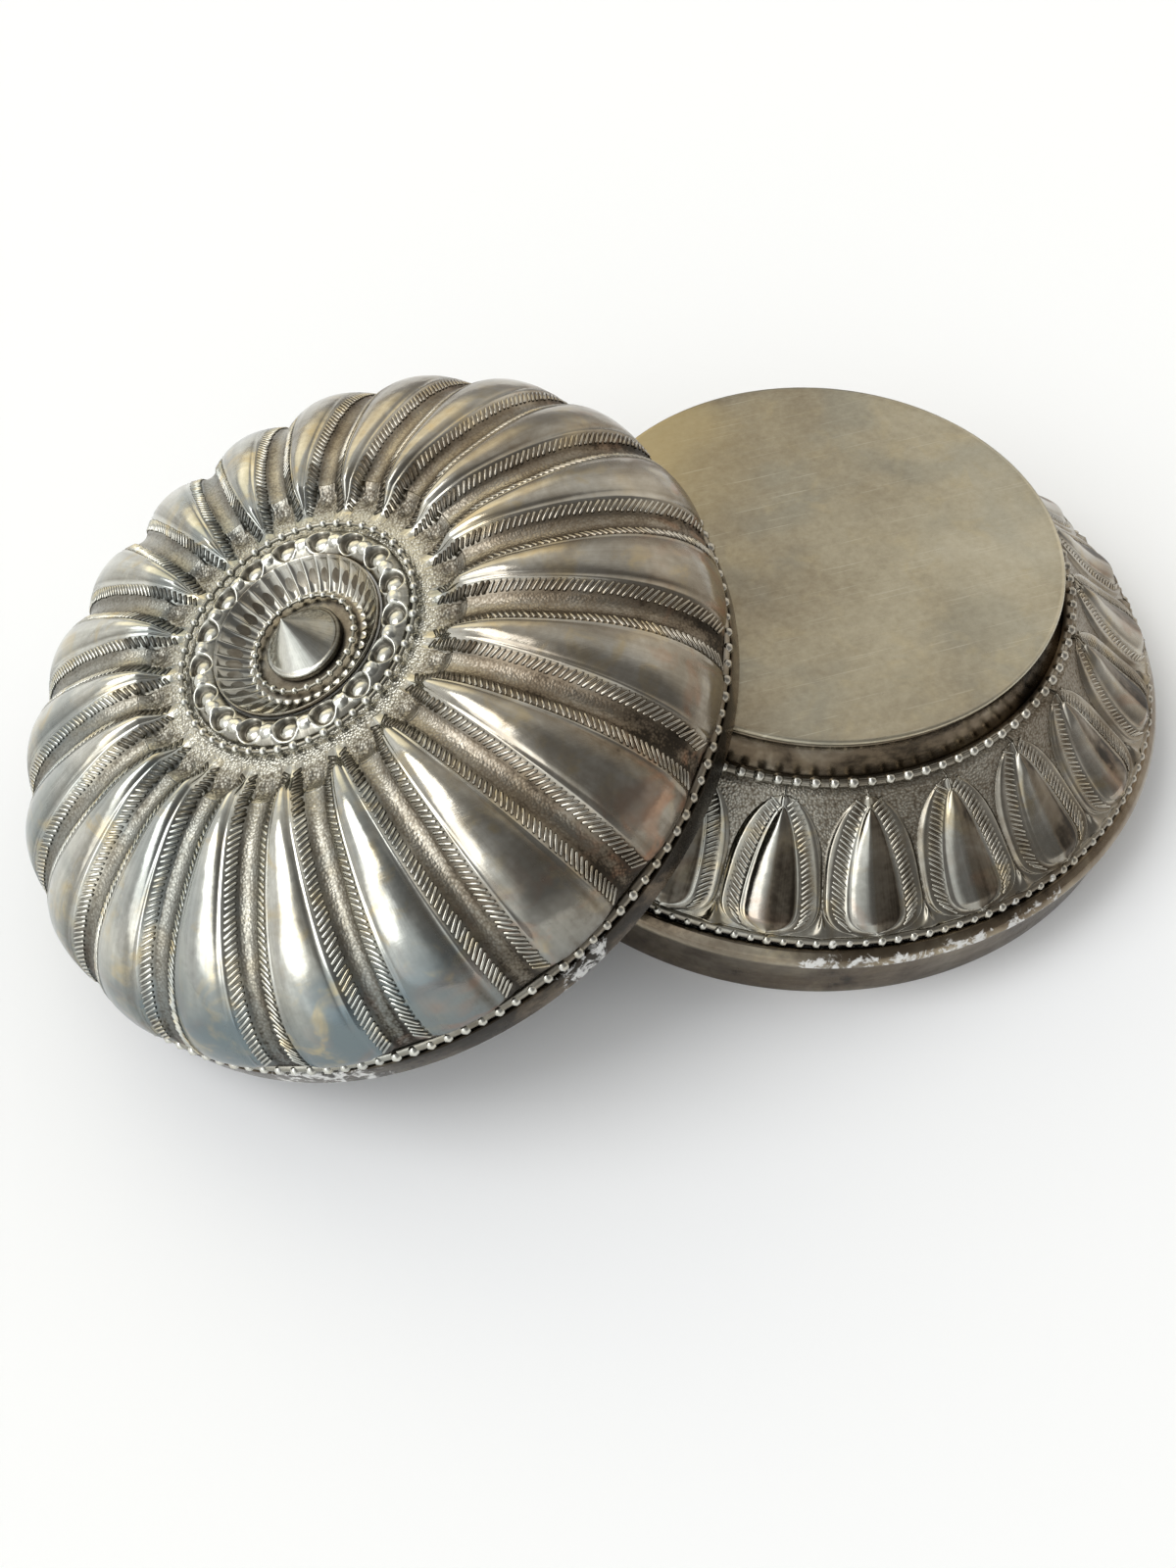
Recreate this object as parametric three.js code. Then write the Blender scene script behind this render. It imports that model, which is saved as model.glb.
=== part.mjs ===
// Round lidded box in chased silver, lid off: the bowl stands upside down on its rim
// and the lid leans on the edge of the bowl's foot. Millimetres, +Z up.
import * as THREE from 'three';

// Clearance left at every soldered joint and between the lid and what it rests on.
const JOINT = 0.3;
// Play between the bowl's collar and the lid's band, which slips over it.
const FIT = 0.6;
const SHEET = 1.0;

// Bowl, measured up from the rim it stands on.
const COLLAR_R = 74.0;
const COLLAR_H = 12.3;
const LEDGE_OVERHANG = 1.2;
const LEDGE_EDGE = 0.6;
const LEDGE_RISE = 3.2;
const LEDGE_INSET = 1.9;
const RIM_BEADS = 150;
const RIM_BEAD = 1.15;
const WALL_RISE = 19.2;
const WALL_HOLLOW = 1.2;
const PETALS = 22;
const PETAL_RELIEF = 2.2;
const PETAL_END_RELIEF = 0.7;
const PLATE_R = 47.9;
const PLATE_EDGE = 0.25;
const PLATE_LIP = 0.4;
const FOOT_H = 9.7;
const FOOT_SPREAD = 1.5;
const FOOT_WAIST = 0.5;
const FOOT_BEADS = 95;
const FOOT_BEAD = 1.3;
const BOTTOM_INSET = 4;

// Lid, measured up its own axis from its rim.
const BAND_H = 5.35;
const LID_BEADS = 141;
const LID_BEAD = 1.25;
const LID_BEAD_INSET = 0.6;
const DOME_OVERHANG = 0.8;
const DOME_TUCK = 3.45;
const DOME_RISE = 34.0;
const DOME_POWER = 2.7;
const LOBES = 20;
const LOBE_PHASE = 4.9;
const LOBE_RELIEF = 3.0;
const LOBE_END_RELIEF = 1.2;
const NOSE_RUN = 14.5;
const NOSE_DROP = 3.3;
const NOSE_RELIEF = 1.9;
const NOSE_SLOPE = 1.9;
const NOSE_STEP = 0.4;
const GROUND_W = 2.7;

// Medallion on the lid.
const MED_BEADS = 50;
const MED_BEAD = 1.0;
const WELLS = 17;
const WELL_PHASE = 0.8;
const WELL_R = 2.3;
const WELL_DEPTH = 1.4;
const WELL_RING_H = 2.1;
const WELL_RING_W = 5.7;
const FLUTES = 36;
const FLUTE_RIDGE = 0.35;
const CUP_R = 17.6;
const CUP_LIP = 1.7;
const CUP_DEPTH = 4.8;
const CUP_MARGIN = 1.2;
const CONE_BEADS = 26;
const CONE_BEAD = 0.8;
const CONE_BEAD_SEAT = 0.7;
const CONE_R = 7.9;
const CONE_STEP = 1.3;
const CONE_H = 7.7;
const CONE_TIP_R = 0.7;

// How far the leaning lid's rim would reach over the foot plate if it lay level.
const LID_OVERLAP = 32.0;

// Shares that shape the ornament: what is left of a bead's radius between two beads,
// how far a petal's back has fallen and how wide it is before its flank starts, and
// over which share of their length petals and lobes swell and run out again.
const BEAD_NECK = 0.62;
const BACK_FALL = 0.22;
const BACK_SHARE = 0.75;
const PETAL_SWELL = 0.25;
const PETAL_WIDEST = 0.4;
const PETAL_TIP = 0.34;
const LOBE_SWELL = 0.31;
const NOSE_BLEND = 0.2;

// How finely the round pieces are cut.
const SIDES = 72;
const CONE_SIDES = 48;
const PETAL_STEPS = 8;
const WALL_ROWS = 9;
const WALL_INNER_ROWS = 3;
const DOME_ROWS = 11;
const DOME_INNER_ROWS = 6;

// Sizes of the bowl that follow from those above.
const LEDGE_R = COLLAR_R + LEDGE_OVERHANG;
const LEDGE_TOP_R = LEDGE_R - LEDGE_INSET;
const LEDGE_Z = COLLAR_H + JOINT;
const LEDGE_TOP = LEDGE_Z + LEDGE_RISE;
const RIM_BEAD_R = LEDGE_TOP_R - RIM_BEAD;
const RIM_BEAD_Z = LEDGE_TOP + JOINT + RIM_BEAD;
const WALL_LOW_R = RIM_BEAD_R - JOINT;
const WALL_LOW_Z = RIM_BEAD_Z + RIM_BEAD + JOINT;
const WALL_TOP_Z = WALL_LOW_Z + WALL_RISE;
const FOOT_TOP_R = PLATE_R - PLATE_LIP;
const FOOT_LOW_R = PLATE_R + FOOT_SPREAD;
const FOOT_BEAD_R = FOOT_LOW_R + JOINT + FOOT_BEAD;
const FOOT_BEAD_Z = WALL_TOP_Z + JOINT + FOOT_BEAD;
const WALL_TOP_R = FOOT_BEAD_R + FOOT_BEAD + JOINT;
const PLATE_TOP = WALL_TOP_Z + FOOT_H;
const PLATE_Z = PLATE_TOP - SHEET;

// Sizes of the medallion, from its cup outwards.
const CONE_BEAD_R = CONE_R + CONE_BEAD_SEAT + CONE_BEAD;
const CUP_FOOT_R = CONE_BEAD_R + CONE_BEAD + CUP_MARGIN;
const HOLE_R = CUP_R + JOINT;
const WELL_RING_OUT = HOLE_R + WELL_RING_W;
const WELL_MID_R = HOLE_R + WELL_RING_W / 2;
const MED_BEAD_R = WELL_RING_OUT + JOINT + MED_BEAD;
const SHELF_R = MED_BEAD_R + MED_BEAD + GROUND_W;

// Sizes of the lid: its band clears the collar, and the medallion sits in its dome.
const BAND_R = COLLAR_R + FIT + SHEET;
const LID_BEAD_R = BAND_R - LID_BEAD_INSET;
const LID_BEAD_Z = BAND_H + JOINT + LID_BEAD;
const DOME_R = BAND_R + DOME_OVERHANG;
const DOME_EDGE_Z = LID_BEAD_Z + LID_BEAD + JOINT;
const DOME_CENTRE = DOME_EDGE_Z - DOME_TUCK;
const NOSE_R = SHELF_R + NOSE_SLOPE;
const NOSE_START_R = NOSE_R + NOSE_RUN;
const NOSE_REACH = (1 - (NOSE_R / DOME_R) ** DOME_POWER) ** (1 / DOME_POWER);
const NOSE_Z = DOME_CENTRE + DOME_RISE * NOSE_REACH - NOSE_DROP;
const SHELF_Z = NOSE_Z - NOSE_RELIEF - NOSE_STEP;
const MED_BEAD_Z = SHELF_Z + JOINT + MED_BEAD;
const CUP_TOP = SHELF_Z + CUP_LIP;
const CUP_FLOOR = CUP_TOP - CUP_DEPTH;
const CONE_BEAD_Z = CUP_FLOOR + JOINT + CONE_BEAD;

// Distance from the bowl's axis to the middle of the lid's rim, along the table.
const LID_OFFSET = BAND_R + PLATE_R - LID_OVERLAP;

const TURN = Math.PI * 2;
const rad = (degrees) => (degrees * Math.PI) / 180;
const mix = (a, b, t) => a + (b - a) * t;
const smooth = (t) => {
  const k = Math.min(1, Math.max(0, t));
  return k * k * (3 - 2 * k);
};

// A ring of points around +Z; at(angle, index) gives the radius and height there.
function ring(count, at, phase = 0) {
  const points = [];
  for (let i = 0; i < count; i += 1) {
    const angle = phase + (TURN * i) / count;
    const [r, z] = at(angle, i);
    points.push([r * Math.cos(angle), r * Math.sin(angle), z]);
  }
  return points;
}

const plainRing = (count, r, z, phase = 0) => ring(count, () => [r, z], phase);
const pole = (z) => [[0, 0, z]];

// Joins a ring with its next one. The coarser ring's points are shared out evenly.
function join(triangles, a, b, startA, startB) {
  if (a.length < b.length) {
    const flipped = [];
    join(flipped, b, a, startB, startA);
    flipped.forEach(([p, q, s]) => triangles.push([p, s, q]));
    return;
  }
  const share = a.length / b.length;
  for (let j = 0; j < b.length; j += 1) {
    const nextB = (j + 1) % b.length;
    const half = b.length === 1 ? share : Math.ceil(share / 2);
    for (let k = 0; k < share; k += 1) {
      const p = (j * share + k) % a.length;
      const q = (p + 1) % a.length;
      triangles.push([startA + p, startA + q, startB + (k < half ? j : nextB)]);
    }
    if (b.length > 1) {
      const p = (j * share + half) % a.length;
      triangles.push([startA + p, startB + nextB, startB + j]);
    }
  }
}

// A closed body through a run of rings that ends on two poles or returns to its start.
function body(rings) {
  const positions = rings.flat(2);
  const starts = [];
  let total = 0;
  rings.forEach((points) => {
    starts.push(total);
    total += points.length;
  });
  const closed = rings[0].length > 1;
  const triangles = [];
  const last = closed ? rings.length : rings.length - 1;
  for (let i = 0; i < last; i += 1) {
    const j = (i + 1) % rings.length;
    join(triangles, rings[i], rings[j], starts[i], starts[j]);
  }
  const geometry = new THREE.BufferGeometry();
  geometry.setAttribute('position', new THREE.Float32BufferAttribute(positions, 3));
  geometry.setIndex(outward(positions, triangles).flat());
  geometry.computeVertexNormals();
  return geometry;
}

// Turns the faces so that the body's volume is positive.
function outward(positions, triangles) {
  const at = (i) => new THREE.Vector3().fromArray(positions, i * 3);
  let volume = 0;
  triangles.forEach(([a, b, c]) => {
    volume += at(a).dot(at(b).cross(at(c)));
  });
  return volume < 0 ? triangles.map(([a, b, c]) => [a, c, b]) : triangles;
}

// A wire of soldered beads: its section swells at each bead and necks between them.
function beadWire(beads, bead, r, z) {
  const neck = bead * BEAD_NECK;
  const corners = 3;
  const rings = [];
  for (let k = 0; k < corners; k += 1) {
    const a = (TURN * k) / corners;
    rings.push(ring(beads * 2, (angle, i) => {
      const size = i % 2 === 0 ? bead : neck;
      return [r + size * Math.cos(a), z + size * Math.sin(a)];
    }));
  }
  return body(rings);
}

// Place across a petal: 0 on its crest, 1 in the valleys on both sides.
function acrossPetal(angle, count, phase) {
  const offset = ((angle - phase) * count) / TURN;
  return Math.abs(offset - Math.round(offset)) * 2;
}

// Height of a petal there, 1 on the crest and 0 in the valley: a bowed back, then a steep flank.
function petalBack(across) {
  if (across < BACK_SHARE) {
    return 1 - BACK_FALL * (across / BACK_SHARE) ** 2;
  }
  return mix(1 - BACK_FALL, 0, Math.min(1, (across - BACK_SHARE) / (1 - BACK_SHARE)));
}

// Bowl wall: t runs from the bead wire at the rim to the foot.
function wallPoint(t, out) {
  const run = new THREE.Vector2(WALL_TOP_R - WALL_LOW_R, WALL_TOP_Z - WALL_LOW_Z);
  const normal = new THREE.Vector2(run.y, -run.x).normalize();
  const push = out - WALL_HOLLOW * 4 * t * (1 - t);
  const r = mix(WALL_LOW_R, WALL_TOP_R, t) + normal.x * push;
  return [r, mix(WALL_LOW_Z, WALL_TOP_Z, t) + normal.y * push];
}

// Half the width of a bowl petal, 1 where it fills its pitch: round at the rim, pointed at the foot.
function petalWidth(t) {
  const low = t < PETAL_WIDEST;
  const away = low ? 1 - t / PETAL_WIDEST : (t - PETAL_WIDEST) / (1 - PETAL_WIDEST);
  return Math.max(0.01, (1 - away ** (low ? 5 : 2.5)) ** 0.55);
}

function bowlWall() {
  const columns = PETALS * PETAL_STEPS;
  const inner = PETALS * 2;
  const swell = (t) => mix(PETAL_END_RELIEF, PETAL_RELIEF, smooth(t / PETAL_SWELL));
  const relief = (t) => swell(t) * smooth((1 - t) / PETAL_TIP);
  const skin = (t, angle, depth) => {
    const back = petalBack(acrossPetal(angle, PETALS, 0) / petalWidth(t));
    return wallPoint(t, relief(t) * back - depth);
  };
  const rings = [pole(WALL_TOP_Z), plainRing(inner, FOOT_LOW_R - BOTTOM_INSET, WALL_TOP_Z)];
  for (let k = 0; k <= WALL_ROWS; k += 1) {
    rings.push(ring(columns, (angle) => skin(1 - k / WALL_ROWS, angle, 0)));
  }
  const clear = 0.03;
  for (let k = 0; k <= WALL_INNER_ROWS; k += 1) {
    const t = mix(clear, 1 - clear, k / WALL_INNER_ROWS);
    rings.push(ring(inner, (angle) => skin(t, angle, SHEET)));
  }
  rings.push(plainRing(inner, FOOT_LOW_R - BOTTOM_INSET / 2, WALL_TOP_Z - SHEET));
  rings.push(pole(WALL_TOP_Z - SHEET));
  return body(rings);
}

// A plain upright band of sheet, its outside at radius r.
function band(r, height) {
  return body([
    plainRing(SIDES, r, 0),
    plainRing(SIDES, r, height),
    plainRing(SIDES, r - SHEET, height),
    plainRing(SIDES, r - SHEET, 0),
  ]);
}

function ledge() {
  const inside = LEDGE_TOP_R - SHEET;
  const shoulderR = LEDGE_R - LEDGE_INSET / 3;
  const shoulderZ = LEDGE_Z + LEDGE_RISE * 0.6;
  return body([
    plainRing(SIDES, LEDGE_R, LEDGE_Z),
    plainRing(SIDES, LEDGE_R, LEDGE_Z + LEDGE_EDGE),
    plainRing(SIDES, shoulderR, shoulderZ),
    plainRing(SIDES, LEDGE_TOP_R, LEDGE_TOP),
    plainRing(SIDES, inside, LEDGE_TOP),
    plainRing(SIDES, inside, LEDGE_Z),
  ]);
}

function footRing() {
  const low = WALL_TOP_Z + JOINT;
  const top = PLATE_Z - JOINT;
  const rings = [];
  const outside = (t) => mix(FOOT_LOW_R, FOOT_TOP_R, smooth(t)) - FOOT_WAIST * Math.sin(Math.PI * t);
  for (const t of [0, 0.3, 0.6, 1]) {
    rings.push(plainRing(SIDES, outside(t), mix(low, top, t)));
  }
  for (const t of [1, 0]) {
    rings.push(plainRing(SIDES, outside(t) - SHEET, mix(low, top, t)));
  }
  return body(rings);
}

function footPlate() {
  return body([
    pole(PLATE_Z),
    plainRing(SIDES, PLATE_R - PLATE_EDGE, PLATE_Z),
    plainRing(SIDES, PLATE_R, PLATE_Z + SHEET / 2),
    plainRing(SIDES, PLATE_R - PLATE_EDGE, PLATE_TOP),
    pole(PLATE_TOP),
  ]);
}

// Lid dome: a point on its crest line, seen from the centre at the given angle.
function domePoint(angle) {
  const c = Math.cos(angle);
  const s = Math.sin(angle);
  const reach = ((c / DOME_R) ** DOME_POWER + (s / DOME_RISE) ** DOME_POWER) ** (-1 / DOME_POWER);
  const r = reach * c;
  const sink = Math.max(0, (NOSE_START_R - r) / (NOSE_START_R - NOSE_R));
  return new THREE.Vector2(r, DOME_CENTRE + reach * s - NOSE_DROP * sink * sink);
}

// The same point sunk into the sheet by the given depth, square to the dome.
function domeInward(angle, depth) {
  const step = 0.01;
  const along = domePoint(angle + step).sub(domePoint(angle - step)).normalize();
  const point = domePoint(angle);
  return [point.x - along.y * depth, point.y + along.x * depth];
}

function domeAngle(test) {
  let low = 0;
  let high = Math.PI / 3;
  for (let i = 0; i < 40; i += 1) {
    const middle = (low + high) / 2;
    if (test(domePoint(middle))) {
      high = middle;
    } else {
      low = middle;
    }
  }
  return high;
}

function domeRelief(t) {
  const rising = mix(LOBE_END_RELIEF, LOBE_RELIEF, smooth(t / LOBE_SWELL));
  return mix(rising, NOSE_RELIEF, smooth((t - 1) / NOSE_BLEND + 1));
}

function dome() {
  const columns = LOBES * PETAL_STEPS;
  const inner = LOBES * 2;
  const phase = rad(LOBE_PHASE);
  const first = domeAngle((point) => point.y > DOME_EDGE_Z);
  const last = domeAngle((point) => point.x < NOSE_R);
  const skin = (t, angle, depth) => {
    const hidden = 1 - petalBack(acrossPetal(angle, LOBES, phase));
    return domeInward(mix(first, last, t), domeRelief(t) * hidden + depth);
  };
  const level = ([r, z]) => [r, Math.max(z, DOME_EDGE_Z)];
  const rings = [];
  for (let k = 0; k <= DOME_ROWS; k += 1) {
    rings.push(ring(columns, (angle) => level(skin(k / DOME_ROWS, angle, 0)), phase));
  }
  rings.push(plainRing(inner, SHELF_R, SHELF_Z, phase));
  rings.push(plainRing(inner, HOLE_R, SHELF_Z, phase));
  rings.push(plainRing(inner, HOLE_R, SHELF_Z - SHEET, phase));
  rings.push(plainRing(inner, SHELF_R, SHELF_Z - SHEET, phase));
  for (let k = DOME_INNER_ROWS; k >= 0; k -= 1) {
    const t = (k / DOME_INNER_ROWS) ** 1.3;
    rings.push(ring(inner, (angle) => level(skin(t, angle, SHEET)), phase));
  }
  return body(rings);
}

// Raised ring of the medallion with a round well sunk between each pair of knobs.
function wellRing() {
  const columns = WELLS * 6;
  const low = SHELF_Z + JOINT;
  const phase = rad(WELL_PHASE);
  const top = (r) => ring(columns, (angle) => {
    const pitch = TURN / WELLS;
    const offset = (angle - phase) / pitch;
    const along = (offset - Math.round(offset)) * pitch * WELL_MID_R;
    const away = Math.hypot(along, r - WELL_MID_R);
    const crown = 1 - ((r - WELL_MID_R) / WELL_RING_W) ** 2;
    return [r, low + WELL_RING_H * crown - WELL_DEPTH * (1 - smooth(away / WELL_R - 0.2))];
  }, phase);
  const rings = [plainRing(columns, HOLE_R, low, phase)];
  for (const t of [0, 0.25, 0.5, 0.75, 1]) {
    rings.push(top(mix(HOLE_R, WELL_RING_OUT, t)));
  }
  rings.push(plainRing(columns, WELL_RING_OUT, low, phase));
  return body(rings);
}

// Fluted cup inside the ring, with a flat floor that carries the beads and the cone.
function flutedCup() {
  const columns = FLUTES * 2;
  const floor = CUP_FLOOR;
  const wall = (t) => ring(columns, (angle, i) => {
    const ridge = i % 2 === 0 ? FLUTE_RIDGE * Math.sin(Math.PI * t) : 0;
    const r = mix(CUP_R - SHEET, CUP_FOOT_R, t ** 1.5);
    return [r, mix(CUP_TOP, floor, 1 - (1 - t) ** 1.7) + ridge];
  });
  const under = (t) => plainRing(
    columns,
    mix(CUP_R, CUP_FOOT_R + SHEET, t ** 1.5),
    mix(CUP_TOP - SHEET, floor - SHEET, 1 - (1 - t) ** 1.7),
  );
  return body([
    pole(floor),
    plainRing(columns, CUP_FOOT_R, floor),
    wall(0.7),
    wall(0.4),
    wall(0.15),
    wall(0),
    plainRing(columns, CUP_R, CUP_TOP),
    under(0),
    under(0.4),
    under(0.7),
    plainRing(columns, CUP_FOOT_R, floor - SHEET),
    pole(floor - SHEET),
  ]);
}

function cone() {
  const low = CUP_FLOOR + JOINT;
  const high = low + CONE_STEP;
  return body([
    pole(low),
    plainRing(CONE_SIDES, CONE_R, low),
    plainRing(CONE_SIDES, CONE_R, high),
    plainRing(CONE_SIDES, CONE_R / 2, high + CONE_H * 0.46),
    plainRing(CONE_SIDES, CONE_TIP_R, high + CONE_H * 0.92),
    pole(high + CONE_H),
  ]);
}

// The lid's lean: its rim stands on the table and just clears the edge of the foot plate.
function lidTilt() {
  const clears = (tilt) => {
    for (let i = 0; i <= 720; i += 1) {
      const angle = (Math.PI * i) / 720;
      for (const r of [BAND_R - SHEET, BAND_R]) {
        const x = r * Math.cos(angle) * Math.cos(tilt) - LID_OFFSET;
        const z = (BAND_R + r * Math.cos(angle)) * Math.sin(tilt);
        const over = Math.hypot(x, r * Math.sin(angle)) < PLATE_R;
        if (over && z < PLATE_TOP + JOINT) {
          return false;
        }
      }
    }
    return true;
  };
  let low = 0;
  let high = rad(45);
  for (let i = 0; i < 40; i += 1) {
    const middle = (low + high) / 2;
    if (clears(middle)) {
      high = middle;
    } else {
      low = middle;
    }
  }
  return high;
}

const SILVER = {
  petals: { color: 0x8f8c84, roughness: 0.32 },
  band: { color: 0x6f6a60, roughness: 0.38 },
  beads: { color: 0xa8a59b, roughness: 0.28 },
  plate: { color: 0x9a9683, roughness: 0.42 },
  polished: { color: 0xb4b2aa, roughness: 0.18 },
};

function piece(name, finish, geometry) {
  const material = new THREE.MeshStandardMaterial({ ...SILVER[finish], metalness: 1 });
  material.name = name;
  const mesh = new THREE.Mesh(geometry, material);
  mesh.name = name;
  return mesh;
}

const bowl = new THREE.Group();
bowl.name = 'bowl';
bowl.add(
  piece('rim_collar', 'band', band(COLLAR_R, COLLAR_H)),
  piece('rim_ledge', 'band', ledge()),
  piece('rim_bead_wire', 'beads', beadWire(RIM_BEADS, RIM_BEAD, RIM_BEAD_R, RIM_BEAD_Z)),
  piece('bowl_wall', 'petals', bowlWall()),
  piece('foot_bead_wire', 'beads', beadWire(FOOT_BEADS, FOOT_BEAD, FOOT_BEAD_R, FOOT_BEAD_Z)),
  piece('foot_ring', 'band', footRing()),
  piece('foot_plate', 'plate', footPlate()),
);

const lid = new THREE.Group();
lid.name = 'lid';
lid.add(
  piece('lid_band', 'band', band(BAND_R, BAND_H)),
  piece('lid_bead_wire', 'beads', beadWire(LID_BEADS, LID_BEAD, LID_BEAD_R, LID_BEAD_Z)),
  piece('lid_dome', 'petals', dome()),
  piece('medallion_bead_wire', 'beads', beadWire(MED_BEADS, MED_BEAD, MED_BEAD_R, MED_BEAD_Z)),
  piece('medallion_ring', 'polished', wellRing()),
  piece('medallion_cup', 'petals', flutedCup()),
  piece('cone_bead_wire', 'beads', beadWire(CONE_BEADS, CONE_BEAD, CONE_BEAD_R, CONE_BEAD_Z)),
  piece('finial_cone', 'polished', cone()),
);
const tilt = lidTilt();
lid.rotation.y = -tilt;
lid.position.set(-LID_OFFSET, 0, BAND_R * Math.sin(tilt));

// The origin is the middle of the object's footprint on the table.
const group = new THREE.Group();
group.name = 'round_lidded_box';
group.add(bowl, lid);
group.updateMatrixWorld(true);
const extent = new THREE.Box3().setFromObject(group, true);
bowl.position.x -= (extent.min.x + extent.max.x) / 2;
lid.position.x -= (extent.min.x + extent.max.x) / 2;
group.updateMatrixWorld(true);

export default group;
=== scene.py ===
# %% [markdown]
# # A round lidded box in chased silver
#
# The box lies open: its bowl stands upside down on the rim, and the domed lid leans on the
# edge of the bowl's foot. Silversmiths call this work chasing and repousse. Petals are pushed
# out of thin sheet from behind, then their outlines and borders are cut from the front with
# small punches. The silver is old, so the hollows are dark and only what hands and cloth can
# reach is bright.
#
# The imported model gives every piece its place. This script dresses it: each plain solid is
# replaced by a finely shaped piece of the same size, in metres, in the same frame.

import math

import bmesh
import bpy
import numpy as np
from mathutils import Matrix, Vector


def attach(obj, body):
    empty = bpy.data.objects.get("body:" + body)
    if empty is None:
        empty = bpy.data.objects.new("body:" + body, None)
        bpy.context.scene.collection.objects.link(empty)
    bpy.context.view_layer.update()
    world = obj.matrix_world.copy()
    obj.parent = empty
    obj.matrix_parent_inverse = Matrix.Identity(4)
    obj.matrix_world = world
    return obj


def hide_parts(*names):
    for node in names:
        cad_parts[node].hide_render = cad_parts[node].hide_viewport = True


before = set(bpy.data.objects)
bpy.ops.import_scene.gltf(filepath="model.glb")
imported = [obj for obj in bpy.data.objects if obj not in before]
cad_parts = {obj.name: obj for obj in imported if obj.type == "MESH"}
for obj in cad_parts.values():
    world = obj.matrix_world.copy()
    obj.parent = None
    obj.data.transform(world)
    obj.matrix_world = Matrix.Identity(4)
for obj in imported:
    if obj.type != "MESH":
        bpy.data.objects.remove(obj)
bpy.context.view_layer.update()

# %% [markdown]
# ## Sizes
#
# These are the sizes of the solids, in millimetres, and everything that follows is drawn
# with them. Radii are measured from the axis of the bowl or of the lid, and heights from its
# rim. Two sizes differ: the ring of beads round the cone, and the flat of the cup on which it
# stands, reach 1.2 mm further out than the solids do. The chased skins stay a hair inside
# their solids. The beds under the beads and the cove at the foot reach a little beyond
# theirs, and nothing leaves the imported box.

# %% Sizes of bowl and lid
MM = 0.001
HAIR = 0.16
SHEET = 1.0
JOINT = 0.3

COLLAR_R, COLLAR_H = 74.0, 12.3
LEDGE_R, LEDGE_Z, LEDGE_TOP, LEDGE_TOP_R = 75.2, 12.6, 15.8, 73.3
RIM_BEADS, RIM_BEAD, RIM_BEAD_R, RIM_BEAD_Z = 150, 1.15, 72.15, 17.25
WALL_LOW_R, WALL_LOW_Z, WALL_TOP_R, WALL_TOP_Z, WALL_HOLLOW = 71.85, 18.7, 52.6, 37.9, 1.2
PETALS, PETAL_PHASE, PETAL_RELIEF = 22, -1.0, 2.2
FOOT_BEADS, FOOT_BEAD, FOOT_BEAD_R, FOOT_BEAD_Z = 95, 1.3, 51.0, 39.5
FOOT_LOW_R, FOOT_TOP_R, FOOT_WAIST = 49.4, 47.5, 0.5
PLATE_R, PLATE_Z, PLATE_TOP = 47.9, 46.6, 47.6

BAND_R, BAND_H = 75.6, 5.35
LID_BEADS, LID_BEAD, LID_BEAD_R, LID_BEAD_Z = 141, 1.25, 75.0, 6.9
DOME_R, DOME_EDGE_Z, DOME_CENTRE, DOME_RISE, DOME_POWER = 76.4, 8.45, 5.0, 34.0, 2.7
LOBES, LOBE_PHASE, LOBE_RELIEF, LOBE_END_RELIEF, TIP_RELIEF = 20, 4.9, 3.0, 1.2, 1.9
SINK_START_R, SINK_END_R, SINK, SHELF_Z = 45.0, 30.5, 3.3, 32.315
MED_BEADS, MED_BEAD, MED_BEAD_R, MED_BEAD_Z = 50, 1.0, 24.9, 33.615
WELLS, WELL_PHASE, RING_IN, RING_OUT, RING_H = 17, 0.8, 17.9, 23.6, 2.1
FLUTES, CUP_R, CUP_TOP, CUP_FLOOR, CUP_FOOT_R = 36, 17.6, 34.015, 29.215, 12.6
CONE_BEADS, CONE_BEAD, CONE_BEAD_R, CONE_BEAD_Z = 26, 0.8, 10.6, 30.315
CONE_R, CONE_Z, CONE_STEP, CONE_H = 7.9, 29.515, 1.3, 7.7
print("petals on the bowl:", PETALS, " lobes on the lid:", LOBES)

# %% [markdown]
# ## Where the two axes stand
#
# The lid leans, so its own upright frame has to be turned into place. Nothing is measured by
# eye: a ring's points average to a point on its axis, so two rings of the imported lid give
# the axis, and the foot plate gives the bowl's. Each finished mesh is moved by one of these
# matrices, and its object stays at the origin, unturned.


# %% Placing matrices
def ring_middle(node):
    """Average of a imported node's points, in mm."""
    points = np.array([v.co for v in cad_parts[node].data.vertices])
    return Vector(points.mean(0)) / MM


band_middle = ring_middle("lid_band")
lid_axis = (ring_middle("lid_bead_wire") - band_middle).normalized()
lid_side = Vector((0, 1, 0))
lid_turn = Matrix((lid_side.cross(lid_axis), lid_side, lid_axis)).transposed().to_4x4()
lid_foot = band_middle - lid_axis * BAND_H / 2
LID_PLACE = Matrix.Translation(lid_foot * MM) @ lid_turn
BOWL_PLACE = Matrix.Translation(Vector((ring_middle("foot_plate").x, 0, 0)) * MM)
lean = math.degrees(math.acos(lid_axis.z))
print(f"the lid leans {lean:.2f} degrees, its rim is centred {lid_foot.z:.2f} mm up")

# %% [markdown]
# ## Camera
#
# The photograph was taken from close by with a wide phone lens, from in front and above.
# A camera that is fitted to the outlines of the round pieces stands 0.27 m away. The picture
# was cropped afterwards, which a small lens shift repeats.

# %% Camera
CAMERA_DISTANCE = 0.27034
CAMERA_AZIMUTH, CAMERA_ELEVATION, CAMERA_ROLL = -8.33, 55.76, -6.85
CAMERA_TARGET = Vector((-0.02468, -0.0183, 0.020))
CAMERA_LENS, CAMERA_SENSOR = 30.49, 36.0
CAMERA_SHIFT_X, CAMERA_SHIFT_Y = 0.0562, -0.001


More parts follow.
